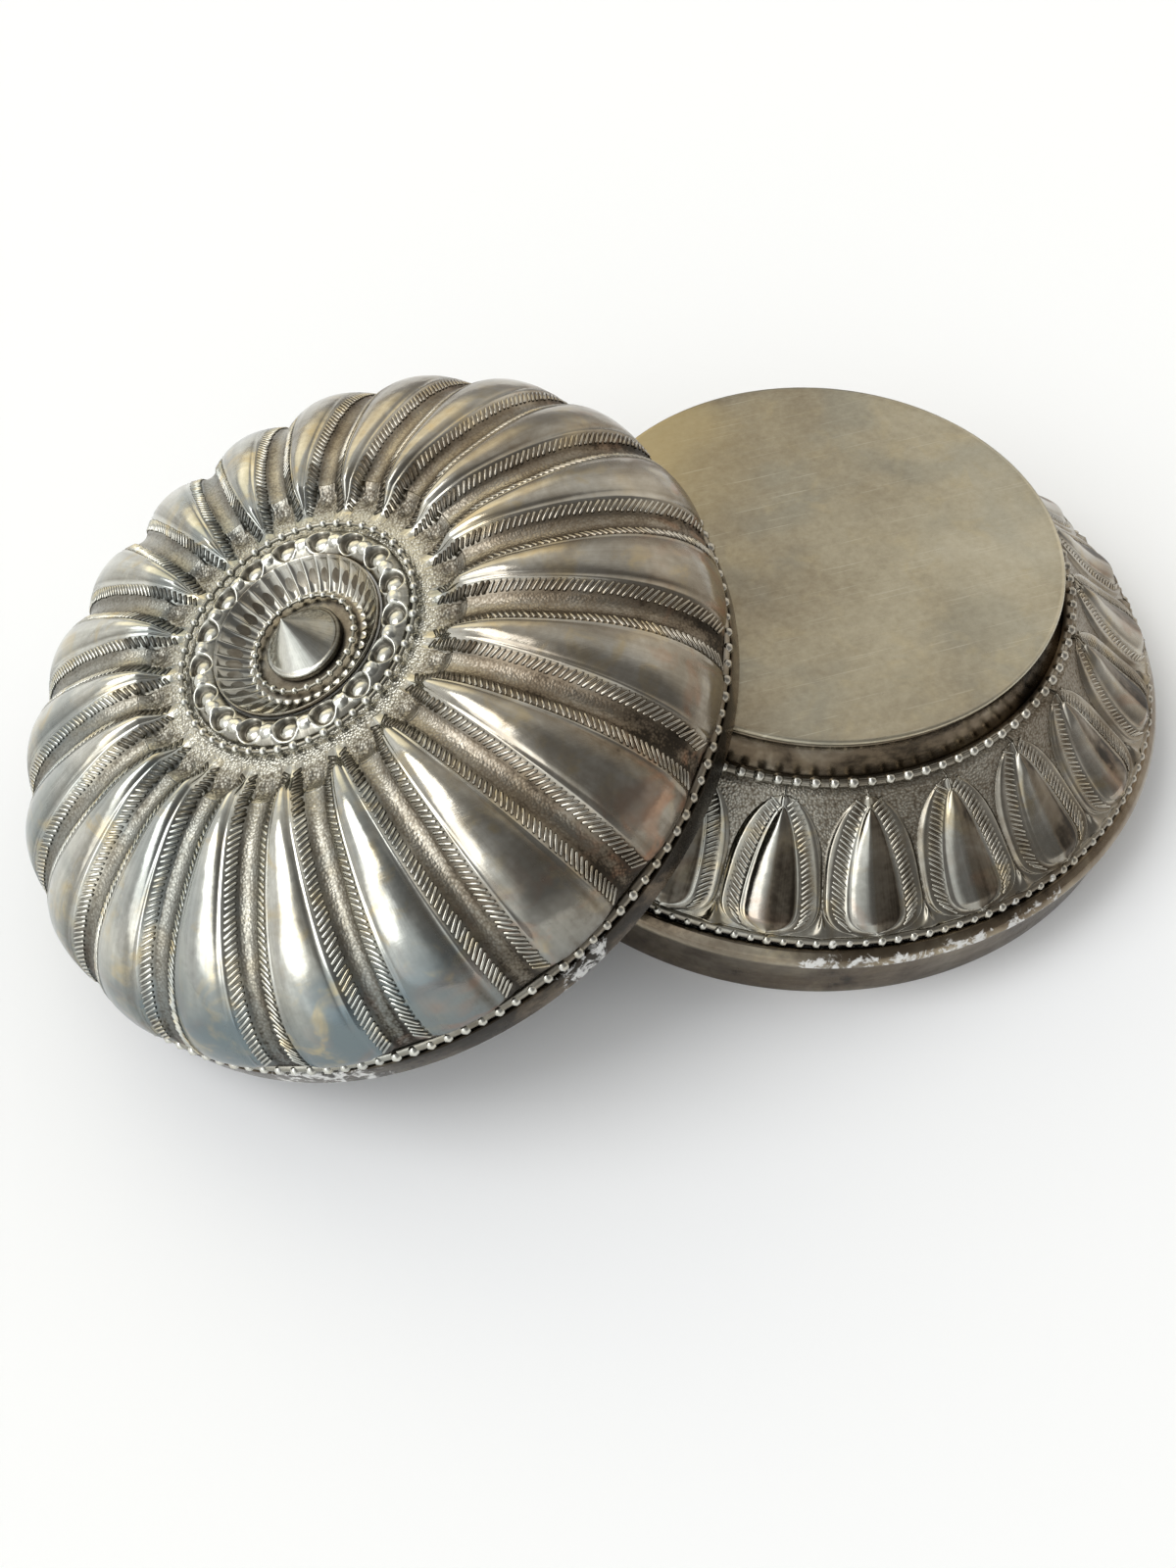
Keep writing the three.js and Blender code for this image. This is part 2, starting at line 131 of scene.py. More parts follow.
def direction(azimuth_deg, elevation_deg):
    """Unit vector towards a place in the room; azimuth 0 is in front, 90 on the right."""
    a, e = math.radians(azimuth_deg), math.radians(elevation_deg)
    return Vector((math.sin(a) * math.cos(e), -math.cos(a) * math.cos(e), math.sin(e)))


back = direction(CAMERA_AZIMUTH, CAMERA_ELEVATION)
camera_data = bpy.data.cameras.new("camera")
camera_data.lens, camera_data.sensor_width = CAMERA_LENS, CAMERA_SENSOR
camera_data.shift_x, camera_data.shift_y = CAMERA_SHIFT_X, CAMERA_SHIFT_Y
camera = bpy.data.objects.new("camera", camera_data)
bpy.context.scene.collection.objects.link(camera)
turn = (-back).to_track_quat("-Z", "Y").to_matrix().to_4x4()
roll = Matrix.Rotation(math.radians(CAMERA_ROLL), 4, "Z")
camera.matrix_world = Matrix.Translation(CAMERA_TARGET + back * CAMERA_DISTANCE) @ turn @ roll
bpy.context.scene.camera = camera
print("camera at", [round(x, 4) for x in camera.matrix_world.translation])

# %% [markdown]
# ## A helper for node trees
#
# The small helper below keeps the trees readable: a value that travels through the tree can
# be added and multiplied like a number, and each step becomes a Math node.


# %% Values in a node tree
class Flow:
    """A number travelling through a node tree; arithmetic on it adds Math nodes."""

    def __init__(self, tree, socket):
        self.tree, self.socket = tree, socket

    def math(self, operation, *others):
        node = self.tree.nodes.new("ShaderNodeMath")
        node.operation = operation
        for slot, value in zip(node.inputs, (self, *others)):
            put(self.tree, value, slot)
        return Flow(self.tree, node.outputs[0])

    def __add__(self, other):
        return self.math("ADD", other)

    def __sub__(self, other):
        return self.math("SUBTRACT", other)

    def __mul__(self, other):
        return self.math("MULTIPLY", other)

    def ramp(self, low, high, to_low=0.0, to_high=1.0):
        """Goes smoothly from to_low to to_high while the value goes from low to high."""
        node = self.tree.nodes.new("ShaderNodeMapRange")
        node.interpolation_type = "SMOOTHSTEP"
        for slot, value in zip(node.inputs, (self, low, high, to_low, to_high)):
            put(self.tree, value, slot)
        return Flow(self.tree, node.outputs[0])


def put(tree, value, slot):
    """Links a travelling value to a slot, or writes a plain one into it."""
    if isinstance(value, Flow):
        tree.links.new(value.socket, slot)
    elif isinstance(value, bpy.types.NodeSocket):
        tree.links.new(value, slot)
    else:
        slot.default_value = value


def add(tree, kind, inputs=None, **settings):
    """Adds a node, sets its properties, and fills the named inputs."""
    node = tree.nodes.new(kind)
    for key, value in settings.items():
        setattr(node, key, value)
    for key, value in (inputs or {}).items():
        put(tree, value, node.inputs[key])
    return node


# %% [markdown]
# ## Finishes
#
# Old silver isn't one colour. Crests are grey-white from handling, flat places turn olive
# and brown, and hollows go nearly black where polish never reaches. Each piece therefore
# carries an attribute called tarnish, from 0 on the crests to 1 in the hollows, which its
# maker writes into the mesh. In places it also holds painted shade: one flank of each petal
# and lobe, the round ends of the lid's channels, and one side of the cone and of the foot
# plate. The finish turns that attribute into a colour along four tones, breaks it up with
# noise, and makes the dark places rougher. Other attributes mark the ground that was matted
# with a punch (stipple), the parts near the rim that are painted darker, steel-blue and
# coppery, a painted dark reflection that is partly tarnish (rim_tarnish_and_reflection), the
# right side of each half, which is painted darker and browner as shade (right_side_shade),
# dried polish that stayed in the corners (residue), and a painted golden reflection on the
# foot plate (gold_reflection). One more, lengthwise, is a stretched place, so that rubbed
# streaks run along the petals and round the turned bands.

# %% Colours of old silver
SILVER = ((0.68, 0.675, 0.61), (0.39, 0.38, 0.33), (0.155, 0.14, 0.11), (0.030, 0.025, 0.019))
OLIVE = ((0.56, 0.52, 0.42), (0.31, 0.27, 0.20), (0.12, 0.095, 0.065), (0.022, 0.018, 0.013))
CHAMPAGNE = ((0.66, 0.62, 0.50), (0.46, 0.41, 0.30), (0.20, 0.155, 0.10), (0.03, 0.024, 0.018))
TONE_PLACES = (0.0, 0.33, 0.68, 1.0)
STEEL = (0.175, 0.215, 0.228)
SHADE_UMBER = (0.22, 0.16, 0.105)
GOLD = (0.56, 0.45, 0.24)
COPPER_REFLECTION = (0.38, 0.18, 0.10)
CHALK = (0.80, 0.80, 0.78)
RUBBED_WAYS = (0.6, -0.35, 1.9)


def noise(tree, place, size_mm, detail=3.0, roughness=0.5, warp=0.0):
    """Noise whose lumps are about size_mm wide, from 0 to 1."""
    shape = {"Scale": 1000.0 / size_mm, "Detail": detail, "Roughness": roughness}
    shape |= {"Vector": place, "Distortion": warp}
    return Flow(tree, add(tree, "ShaderNodeTexNoise", shape).outputs["Fac"])


def blend_colour(tree, factor, first, second):
    node = add(tree, "ShaderNodeMix", data_type="RGBA", clamp_factor=True)
    put(tree, factor, node.inputs["Factor"])
    slots = [slot for slot in node.inputs if slot.type == "RGBA"]
    for slot, colour in zip(slots, (first, second)):
        put(tree, (*colour, 1.0) if isinstance(colour, tuple) else colour, slot)
    return [slot for slot in node.outputs if slot.type == "RGBA"][0]


def painted(tree, label):
    """An attribute that a piece's maker wrote into the mesh; it is 0 where there is none."""
    return Flow(tree, add(tree, "ShaderNodeAttribute", attribute_name=label).outputs["Fac"])


def silver(
    name, tones=SILVER, wear=0.0, tint=1.0, shine=0.24, dull=0.55, scratches=1.0, clouding=0.5,
    streaky=0.5, right_side_shading=1.0, cloud_mm=14,
):
    """A tarnished silver.

    wear above 0 darkens it, and tint is how strongly it is coloured. shine and dull are the
    roughness of its bright and dark places. clouding and cloud_mm say how strong and how wide
    its stains are, streaky how much it was rubbed one way, and right_side_shading how strongly
    its right side is painted darker and browner as shade.
    """
    finish = bpy.data.materials.new(name)
    finish.use_nodes = True
    tree = finish.node_tree
    shader = tree.nodes["Principled BSDF"]
    place = add(tree, "ShaderNodeTexCoord").outputs["Object"]
    stipple, rim_tarnish_and_reflection = painted(tree, "stipple"), painted(tree, "rim_tarnish_and_reflection")
    right_side_shade = painted(tree, "right_side_shade") * right_side_shading
    rays = add(tree, "ShaderNodeAttribute", attribute_name="lengthwise").outputs["Vector"]
    streaks = (noise(tree, rays, 1.7, 4.0, 0.65) - 0.5) * (stipple * -1.0 + 1.0) * streaky

    clouds = noise(tree, place, cloud_mm, 4.0, 0.6, 0.6)
    specks = noise(tree, place, 1.3, 3.0, 0.6)
    cells = {"Vector": place, "Scale": 2000.0, "Randomness": 0.9}
    grain = Flow(tree, add(tree, "ShaderNodeTexVoronoi", cells).outputs["Distance"])
    dark = painted(tree, "tarnish") + (specks - 0.5) * 0.25
    dark = dark + (clouds - 0.5) * clouding * (stipple * -0.7 + 1.0)
    # Near the rim it is painted darker: a painted dark reflection, partly tarnish.
    dark = dark + rim_tarnish_and_reflection * 0.28 + (grain - 0.35) * stipple * 0.6 + wear
    # Painted shade on the right side darkens it, in clouds.
    dark = dark + right_side_shade * (clouds * 0.9 - 0.36) + streaks

    ramp = add(tree, "ShaderNodeValToRGB", {"Fac": dark})
    stops = ramp.color_ramp.elements
    stops[1].position = 1.0
    for position in TONE_PLACES[1:3]:
        stops.new(position)
    for stop, tone in zip(stops, tones):
        stop.color = (*tone, 1.0)
    colour = ramp.outputs["Color"]

    blue = noise(tree, place, 20, 2.0, 0.5, 0.4).ramp(0.46, 0.66, 0.0, 0.5 * tint)
    # Near the rim it turns steel-blue: a painted dark reflection, partly tarnish.
    blue = (blue + rim_tarnish_and_reflection * (0.95 * tint)) * (right_side_shade + stipple).ramp(0.0, 1.0, 1.0, 0.15)
    gold = noise(tree, place, 8, 3.0, 0.6, 0.8).ramp(0.5, 0.72, 0.0, 0.6 * tint)
    gold = gold * (stipple * -1.0 + 1.0)
    # Coppery patches near the rim, mostly on the right: a painted reflection.
    copper_reflection = noise(tree, place, 9, 2.0, 0.5, 1.2).ramp(0.5, 0.72, 0.0, 0.75 * tint)
    colour = blend_colour(tree, blue * dark.ramp(0.45, 0.95, 1.0, 0.2), colour, STEEL)
    colour = blend_colour(tree, gold * dark.ramp(0.2, 0.7, 1.0, 0.2), colour, GOLD)
    colour = blend_colour(tree, copper_reflection * rim_tarnish_and_reflection * (right_side_shade + 0.25), colour, COPPER_REFLECTION)
    # Painted shade on the right side turns it brown.
    colour = blend_colour(tree, right_side_shade * 0.48, colour, SHADE_UMBER)
    colour = blend_colour(tree, dark.ramp(0.75, 1.05, 0.0, 0.9), colour, tones[3])

    stretch = {"Vector": place, "Scale": (1.0, 14.0, 3.0), "Rotation": (0.3, 0.5, 0.9)}
    scratch = noise(tree, add(tree, "ShaderNodeMapping", stretch).outputs[0], 9, 5.0, 0.75)
    rough = dark.ramp(0.25, 1.0, shine, dull) + (scratch - 0.5) * (0.2 * scratches)
    rough = rough + streaks * 0.25 + stipple * 0.15

    if name in ("plain_silver", "beaded_silver"):
        chalk = painted(tree, "residue") * 0.43 + noise(tree, place, 3.0, 5.0, 0.7, 0.5)
        chalk = chalk.ramp(0.88, 1.0, 0.0, 0.85)
        colour = blend_colour(tree, chalk, colour, CHALK)
        rough = rough + chalk * 0.4
        put(tree, chalk * -1.0 + 1.0, shader.inputs["Metallic"])
    else:
        shader.inputs["Metallic"].default_value = 1.0
    if name == "satin_silver":
        for way in RUBBED_WAYS:
            pull = {"Vector": place, "Scale": (1.0, 45.0, 1.0), "Rotation": (0.0, 0.0, way)}
            line = noise(tree, add(tree, "ShaderNodeMapping", pull).outputs[0], 24, 2.0, 0.6)
            line = line.ramp(0.66, 0.72, 0.0, 0.35)
            colour = blend_colour(tree, line, colour, tones[0])
        # A painted golden reflection on one side of the plate.
        gold_reflection = painted(tree, "gold_reflection") * noise(tree, place, 30, 2.0, 0.5, 0.5).ramp(0.3, 0.6)
        colour = blend_colour(tree, gold_reflection, colour, GOLD)
    put(tree, colour, shader.inputs["Base Color"])
    put(tree, rough, shader.inputs["Roughness"])

    dents = noise(tree, place, 5.5, 2.0, 0.5) * 0.3 + noise(tree, place, 0.5, 2.0, 0.5) * 0.008
    height = grain * stipple * -0.3 + dents + scratch * (0.035 * scratches) + streaks * 0.05
    bump = add(tree, "ShaderNodeBump", {"Strength": 0.6, "Distance": MM * 0.7, "Height": height})
    put(tree, bump.outputs["Normal"], shader.inputs["Normal"])
    return finish


CHASED = silver("chased_silver", shine=0.15, dull=0.5)
BEADED = silver("beaded_silver", wear=-0.05, tint=0.4, shine=0.22, streaky=0.0)
PLAIN = silver(
    "plain_silver", OLIVE, wear=0.14, tint=0.5, shine=0.14, dull=0.28, scratches=1.4, clouding=0.9,
    streaky=0.3,
)
SATIN = silver(
    "satin_silver", CHAMPAGNE, tint=0.4, shine=0.33, dull=0.5, scratches=2.4, clouding=0.5,
    streaky=0.06, right_side_shading=0.0, cloud_mm=34,
)
POLISHED = silver("polished_silver", wear=-0.05, tint=0.25, shine=0.2)
FINISHES = {
    "chased_silver": CHASED,
    "beaded_silver": BEADED,
    "plain_silver": PLAIN,
    "satin_silver": SATIN,
    "polished_silver": POLISHED,
}
print("finishes:", list(FINISHES))

# %% [markdown]
# ## Meshes from grids
#
# Every piece starts as a grid of points: rows run along a section through the sheet, and
# columns run around the axis. One function turns such a grid into a mesh, and another one
# finishes it: it welds poles and seams, turns all faces outwards and moves it into place.


# %% Grid meshes
PLACES = {"bowl": BOWL_PLACE, "lid": LID_PLACE}
# Where the painted shade on the right side lies, and how much of it bowl and cup get everywhere.
SHADE_SIDE_DEG, SHADE_FROM_R, SHADE_FADE_R = 5, 20, 30
BOWL_SHADE_LEVEL, CUP_SHADE_LEVEL = 0.45, 0.4
STREAK_R, STREAK_PULL = 60, 0.07


def ease(t):
    k = np.clip(t, 0.0, 1.0)
    return k * k * (3 - 2 * k)


def mix(a, b, t):
    return a + (b - a) * t


def spun(r, z, angle):
    """Points from radius, height and angle, which are grids of one shape."""
    return np.stack([r * np.cos(angle), r * np.sin(angle), z + 0 * angle], -1)


def paint(mesh, tags):
    """Writes one number per point and attribute."""
    for key, values in tags.items():
        layer = mesh.attributes.new(key, "FLOAT", "POINT").data
        layer.foreach_set("value", np.asarray(values, np.float32).ravel())


def new_piece(name, mesh):
    piece = bpy.data.objects.new(name, mesh)
    bpy.context.scene.collection.objects.link(piece)
    return piece


def grid_mesh(name, points, tags, around=False):
    """Mesh of a rows x columns grid in mm, the last row joined to the first."""
    rows, columns = points.shape[:2]
    number = np.arange(rows * columns).reshape(rows, columns)
    number = np.vstack([number, number[:1]])
    if around:
        number = np.hstack([number, number[:, :1]])
    corners = [number[:-1, :-1], number[:-1, 1:], number[1:, 1:], number[1:, :-1]]
    faces = np.stack(corners, -1).reshape(-1, 4)
    mesh = bpy.data.meshes.new(name)
    mesh.from_pydata((points.reshape(-1, 3) * MM).tolist(), [], faces.tolist())
    paint(mesh, {key: np.broadcast_to(values, (rows, columns)) for key, values in tags.items()})
    return new_piece(name, mesh)


def paint_place(mesh, right_side_shading, along_ring):
    """Paints right_side_shade, painted shade that is 1 on the outer parts to the right of the
    axis, and lengthwise.
    """
    points = np.zeros(len(mesh.vertices) * 3, np.float32)
    mesh.vertices.foreach_get("co", points)
    x, y, z = (points.reshape(-1, 3) / MM).T
    side = np.cos(np.arctan2(y, x) - math.radians(SHADE_SIDE_DEG))
    outer = ease((np.hypot(x, y) - SHADE_FROM_R) / SHADE_FADE_R)
    # Painted shade: 1 on the right side, away from the light, and 0 on the left.
    paint(mesh, {"right_side_shade": mix(ease((side + 0.3) / 1.1) * outer, 1, right_side_shading)})
    r = np.hypot(x, y) + 0.001
    rays = np.stack([STREAK_R * x / r, STREAK_R * y / r, STREAK_PULL * (r + z)], -1)
    if along_ring:
        rays = np.stack([STREAK_PULL * x, STREAK_PULL * y, r + z], -1)
    layer = mesh.attributes.new("lengthwise", "FLOAT_VECTOR", "POINT").data
    layer.foreach_set("vector", (rays * MM).astype(np.float32).ravel())


def settle(piece, body, nodes, slot, finish=None, right_side_shading=0.0, lift=0.0):
    """Welds, turns the faces outwards, moves into place and hands the piece to its body."""
    turned_piece = slot in ("satin_silver", "plain_silver")
    # Paints shade on the right side; with a level above 0 it lies everywhere, more on the right.
    paint_place(piece.data, BOWL_SHADE_LEVEL if body == "bowl" else right_side_shading, turned_piece)
    work = bmesh.new()
    work.from_mesh(piece.data)
    bmesh.ops.remove_doubles(work, verts=work.verts, dist=0.00001)
    bmesh.ops.dissolve_degenerate(work, edges=work.edges, dist=0.000002)
    bmesh.ops.recalc_face_normals(work, faces=work.faces)
    work.to_mesh(piece.data)
    work.free()
    piece.data.transform(PLACES[body] @ Matrix.Translation((0, 0, lift * MM)))
    piece.data.shade_smooth()
    if finish:
        piece.data.materials.clear()
        piece.data.materials.append(finish)
    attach(piece, body)
    if nodes:
        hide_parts(*nodes)
    triangles = sum(len(face.vertices) - 2 for face in piece.data.polygons)
    print(f"{piece.name}: {triangles} triangles")
    return piece


# %% [markdown]
# ## Repeating round an axis
#
# A chaser works one petal and then the next, all alike but none quite the same. The tree
# below does that: it takes one segment, sets copies of it round the axis, welds the seams
# and then pushes the skin in and out a little with a slow noise, so that no two copies are
# equal. The same tree repeats petals, lobes, wells, flutes and the chisel strokes.


# %% Tree that repeats a segment
def new_tree(name, inputs):
    """An empty geometry tree with a geometry in and out, and the named inputs."""
    tree = bpy.data.node_groups.new(name, "GeometryNodeTree")
    for way in ("INPUT", "OUTPUT"):
        tree.interface.new_socket("Geometry", in_out=way, socket_type="NodeSocketGeometry")
    for label, kind in inputs.items():
        tree.interface.new_socket(label, in_out="INPUT", socket_type="NodeSocket" + kind)
    return tree, add(tree, "NodeGroupInput").outputs, add(tree, "NodeGroupOutput").inputs


def grow(piece, tree, values):
    """Runs a tree on a piece and keeps the result as its plain mesh."""
    modifier = piece.modifiers.new("grow", "NODES")
    modifier.node_group = tree
    for item in tree.interface.items_tree:
        if item.item_type == "SOCKET" and item.name in values:
            modifier[item.identifier] = values[item.name]
    view = bpy.context.evaluated_depsgraph_get()
    made = bpy.data.meshes.new_from_object(
        piece.evaluated_get(view), preserve_all_data_layers=True, depsgraph=view
    )
    piece.modifiers.clear()
    piece.data = made
    return piece


def chain(tree, kind, **inputs):
    """Adds a geometry node and returns its first output."""
    inputs = {key.replace("_", " "): value for key, value in inputs.items()}
    return add(tree, kind, inputs).outputs[0]


def set_on(tree, points, shape, **inputs):
    """Sets a copy of a shape on each point."""
    inputs |= {"Points": points, "Instance": shape}
    return chain(tree, "GeometryNodeInstanceOnPoints", **inputs)


def end_tree(tree, shapes, given, result):
    """Makes copies real, gives them the asked finish and sends them out of the tree."""
    real = chain(tree, "GeometryNodeRealizeInstances", Geometry=shapes)
    dressed = chain(tree, "GeometryNodeSetMaterial", Geometry=real, Material=given["Finish"])
    put(tree, dressed, result["Geometry"])


def scaled(tree, vector, amount):
    node = add(tree, "ShaderNodeVectorMath", {0: vector, "Scale": amount}, operation="SCALE")
    return node.outputs[0]


kinds = {"Copies": "Int", "Unevenness": "Float", "Lump size": "Float", "Weld": "Float"}
repeat_tree, given, result = new_tree("repeat_round_axis", kinds | {"Finish": "Material"})
points = chain(repeat_tree, "GeometryNodePoints", Count=given["Copies"])
number = Flow(repeat_tree, add(repeat_tree, "GeometryNodeInputIndex").outputs[0])
step = number.math("MULTIPLY", math.tau).math("DIVIDE", given["Copies"])
turns = chain(repeat_tree, "ShaderNodeCombineXYZ", Z=step)
to_rotation = add(repeat_tree, "FunctionNodeEulerToRotation", {0: turns}).outputs[0]
copies = set_on(repeat_tree, points, given["Geometry"], Rotation=to_rotation)
whole = chain(repeat_tree, "GeometryNodeRealizeInstances", Geometry=copies)
welded = chain(repeat_tree, "GeometryNodeMergeByDistance", Geometry=whole, Distance=given["Weld"])
lumps = add(repeat_tree, "ShaderNodeTexNoise", {"Scale": given["Lump size"], "Detail": 1.0})
amount = (Flow(repeat_tree, lumps.outputs["Fac"]) - 0.62) * Flow(repeat_tree, given["Unevenness"])
push = scaled(repeat_tree, add(repeat_tree, "GeometryNodeInputNormal").outputs[0], amount)
pushed = chain(repeat_tree, "GeometryNodeSetPosition", Geometry=welded, Offset=push)
dressed = chain(repeat_tree, "GeometryNodeSetMaterial", Geometry=pushed, Material=given["Finish"])
put(repeat_tree, dressed, result["Geometry"])


def repeat(piece, copies, finish, unevenness=0.15, lump_mm=14, weld_mm=0.004):
    values = {
        "Copies": copies,
        "Unevenness": unevenness * MM,
        "Lump size": 1000.0 / lump_mm,
        "Weld": weld_mm * MM,
        "Finish": finish,
    }
    return grow(piece, repeat_tree, values)


# %% [markdown]
# ## Lid: crest line of the dome
#
# Seen from the side the lid is a flattened dome whose crest sinks again towards the
# medallion. A superellipse gives that line: it is steeper at the shoulder than a circle.
# Close to the medallion the line eases down to the flat ground round it. It is measured
# along its length, so that 0 is the rim and 1 the tip of a lobe.

# %% Crest line
TIP_R, MERGE_R = 28.4, 34.5


def crest_line():
    angle = np.linspace(0, math.pi / 2.6, 8000)
    c, s = np.cos(angle), np.sin(angle)
    reach = ((c / DOME_R) ** DOME_POWER + (s / DOME_RISE) ** DOME_POWER) ** (-1 / DOME_POWER)
    r = reach * c
    sink = np.clip((SINK_START_R - r) / (SINK_START_R - SINK_END_R), 0, None)
    z = DOME_CENTRE + reach * s - SINK * sink**2
    z = mix(z, SHELF_Z + 0.1, ease((MERGE_R - r) / (MERGE_R - TIP_R)))
    keep = (z > DOME_EDGE_Z) & (r > TIP_R)
    r, z = r[keep], z[keep]
    length = np.concatenate([[0], np.cumsum(np.hypot(np.diff(r), np.diff(z)))])
    return length / length[-1], r, z, np.gradient(z, length), -np.gradient(r, length), length[-1]


CREST_S, CREST_R, CREST_Z, CREST_NR, CREST_NZ, CREST_LENGTH = crest_line()


def on_crest(s, values):
    return np.interp(s, CREST_S, values)


def dome_point(s, depth):
    """Radius and height at place s on the crest line, sunk by depth into the sheet."""
    r = on_crest(s, CREST_R) - (depth + HAIR) * on_crest(s, CREST_NR)
    z = on_crest(s, CREST_Z) - (depth + HAIR) * on_crest(s, CREST_NZ)
    return r, np.maximum(z, DOME_EDGE_Z)


print(f"crest line of the lid: {CREST_LENGTH:.1f} mm")

# %% [markdown]
# ## Lid: one lobe
#
# A lobe is a long lotus petal. Its polished back is convex, runs to a point near the
# medallion and ends round at the rim. A steep border follows it on both sides and carries
# the strokes. Two neighbouring lobes share a smooth channel, which ends in a round wall just
# before the medallion, while the tips run on down to the matted ground. The grid's columns
# follow these outlines instead of running straight, so that few columns give crisp edges.

# %% Outlines of a lobe
EDGE_LINE = 0.045
CHANNEL_END_R, CHANNEL_ROUND, CHANNEL_WALL = 29.6, 3.4, 1.6


def lobe_back(s):
    """Half-width of the polished back, in half pitches."""
    tip = np.clip(1 - (s / 0.965) ** 2.4, 0, 1)
    foot = 1 - np.clip(1 - s / 0.055, 0, 1) ** 3
    return 0.53 * tip**0.6 * np.sqrt(foot) + 0.004


def lobe_border(s):
    """Half-width to the outer edge of the border."""
    foot = 1 - np.clip(1 - s / 0.035, 0, 1) ** 3
    return lobe_back(s) + 0.31 * np.sqrt(foot) + 0.15 * ease((s - 0.55) / 0.45) + 0.01


def lobe_relief(s):
    rising = mix(LOBE_END_RELIEF, LOBE_RELIEF, ease(s / 0.31))
    return mix(rising, TIP_RELIEF, ease((s - 0.8) / 0.2))


def arch_radius(u):
    """Radius at which the channel ends; u is 0 at the border and 1 in its middle."""
    return CHANNEL_END_R + CHANNEL_ROUND * (1 - np.sqrt(1 - (1 - u) ** 2))


def lobe_depth(a, s):
    """Depth below the crest line; a is 0 on the lobe's middle, -1 and 1 in the channels."""
    x = np.abs(a)
    back_edge, border_edge, relief = lobe_back(s), lobe_border(s), lobe_relief(s)
    tip = ease((1 - s) / 0.09)
    sink_back, sink_border = 0.27 * relief * tip, mix(0.3, 0.78 * relief, tip)
    on_back = np.clip(x / back_edge, 0, 1)
    boss = sink_back * (1 - ease(s / 0.045) * (1 - on_back**2.2))
    in_border = np.clip((x - back_edge) / (border_edge - back_edge), 0, 1)
    strip = mix(sink_back + 0.2 * tip, sink_border, in_border)
    u = np.clip((x - border_edge) / (1 - border_edge), 0, 1)
    channel = mix(sink_border + 0.15 * tip, relief, 1 - (1 - u) ** 2)
    shelf = (on_crest(s, CREST_Z) - SHELF_Z) / on_crest(s, CREST_NZ)
    wall = (on_crest(s, CREST_R) - arch_radius(u)) / CHANNEL_WALL
    channel = mix(shelf, channel, ease(wall))
    depth = np.where(x < back_edge, boss, np.where(x < border_edge, strip, channel))
    line = np.exp(-(((x - back_edge - EDGE_LINE * 0.55) / (EDGE_LINE * 0.4)) ** 2))
    roll = np.clip(1 - s / 0.022, 0, 1) ** 2
    return depth - 0.26 * line * ease(s / 0.05) * tip + roll


# %% Columns and rows that follow the outlines
def follow(marks, counts):
    """Places across from the first mark to the last, mirrored to the other side."""
    parts = []
    for low, high, count in zip(marks[:-1], marks[1:], counts):
        parts.append(low[:, None] + (high - low)[:, None] * np.arange(count) / count)
    half = np.minimum(np.hstack([*parts, marks[-1][:, None]]), 1.0)
    return np.hstack([-half[:, :0:-1], half])


def stacked_rows(*stretches):
    """Row places from (start, end, count) stretches."""
    parts = [np.linspace(low, high, count, endpoint=False) for low, high, count in stretches]
    return np.concatenate([*parts, [stretches[-1][1]]])


lobe_rows = stacked_rows((0, 0.07, 11), (0.07, 0.84, 39), (0.84, 1, 34))
edge, border = lobe_back(lobe_rows), lobe_border(lobe_rows)
marks = [0 * edge, edge, edge + EDGE_LINE, border, border + 0.035, 1 + 0 * edge]
lobe_across = follow(marks, (7, 2, 4, 1, 6))
print("grid of one lobe:", lobe_across.shape)


# %% [markdown]
# From its tips the skin runs on over the matted ground to the hole for the cup, and back
# underneath as the inside of the sheet. Repousse sheet shows its pattern in reverse inside,
# so the inner rows repeat the outer ones, one sheet thickness deeper and a little softer.

# %% Lobe segment
INNER_ROWS, SOFTER = 16, 0.85
STRIP_DARK, CHANNEL_DARK, WALL_SHADE, BACK_DARK, GROUND_DARK = 0.52, 0.43, 0.62, 0.12, 0.26


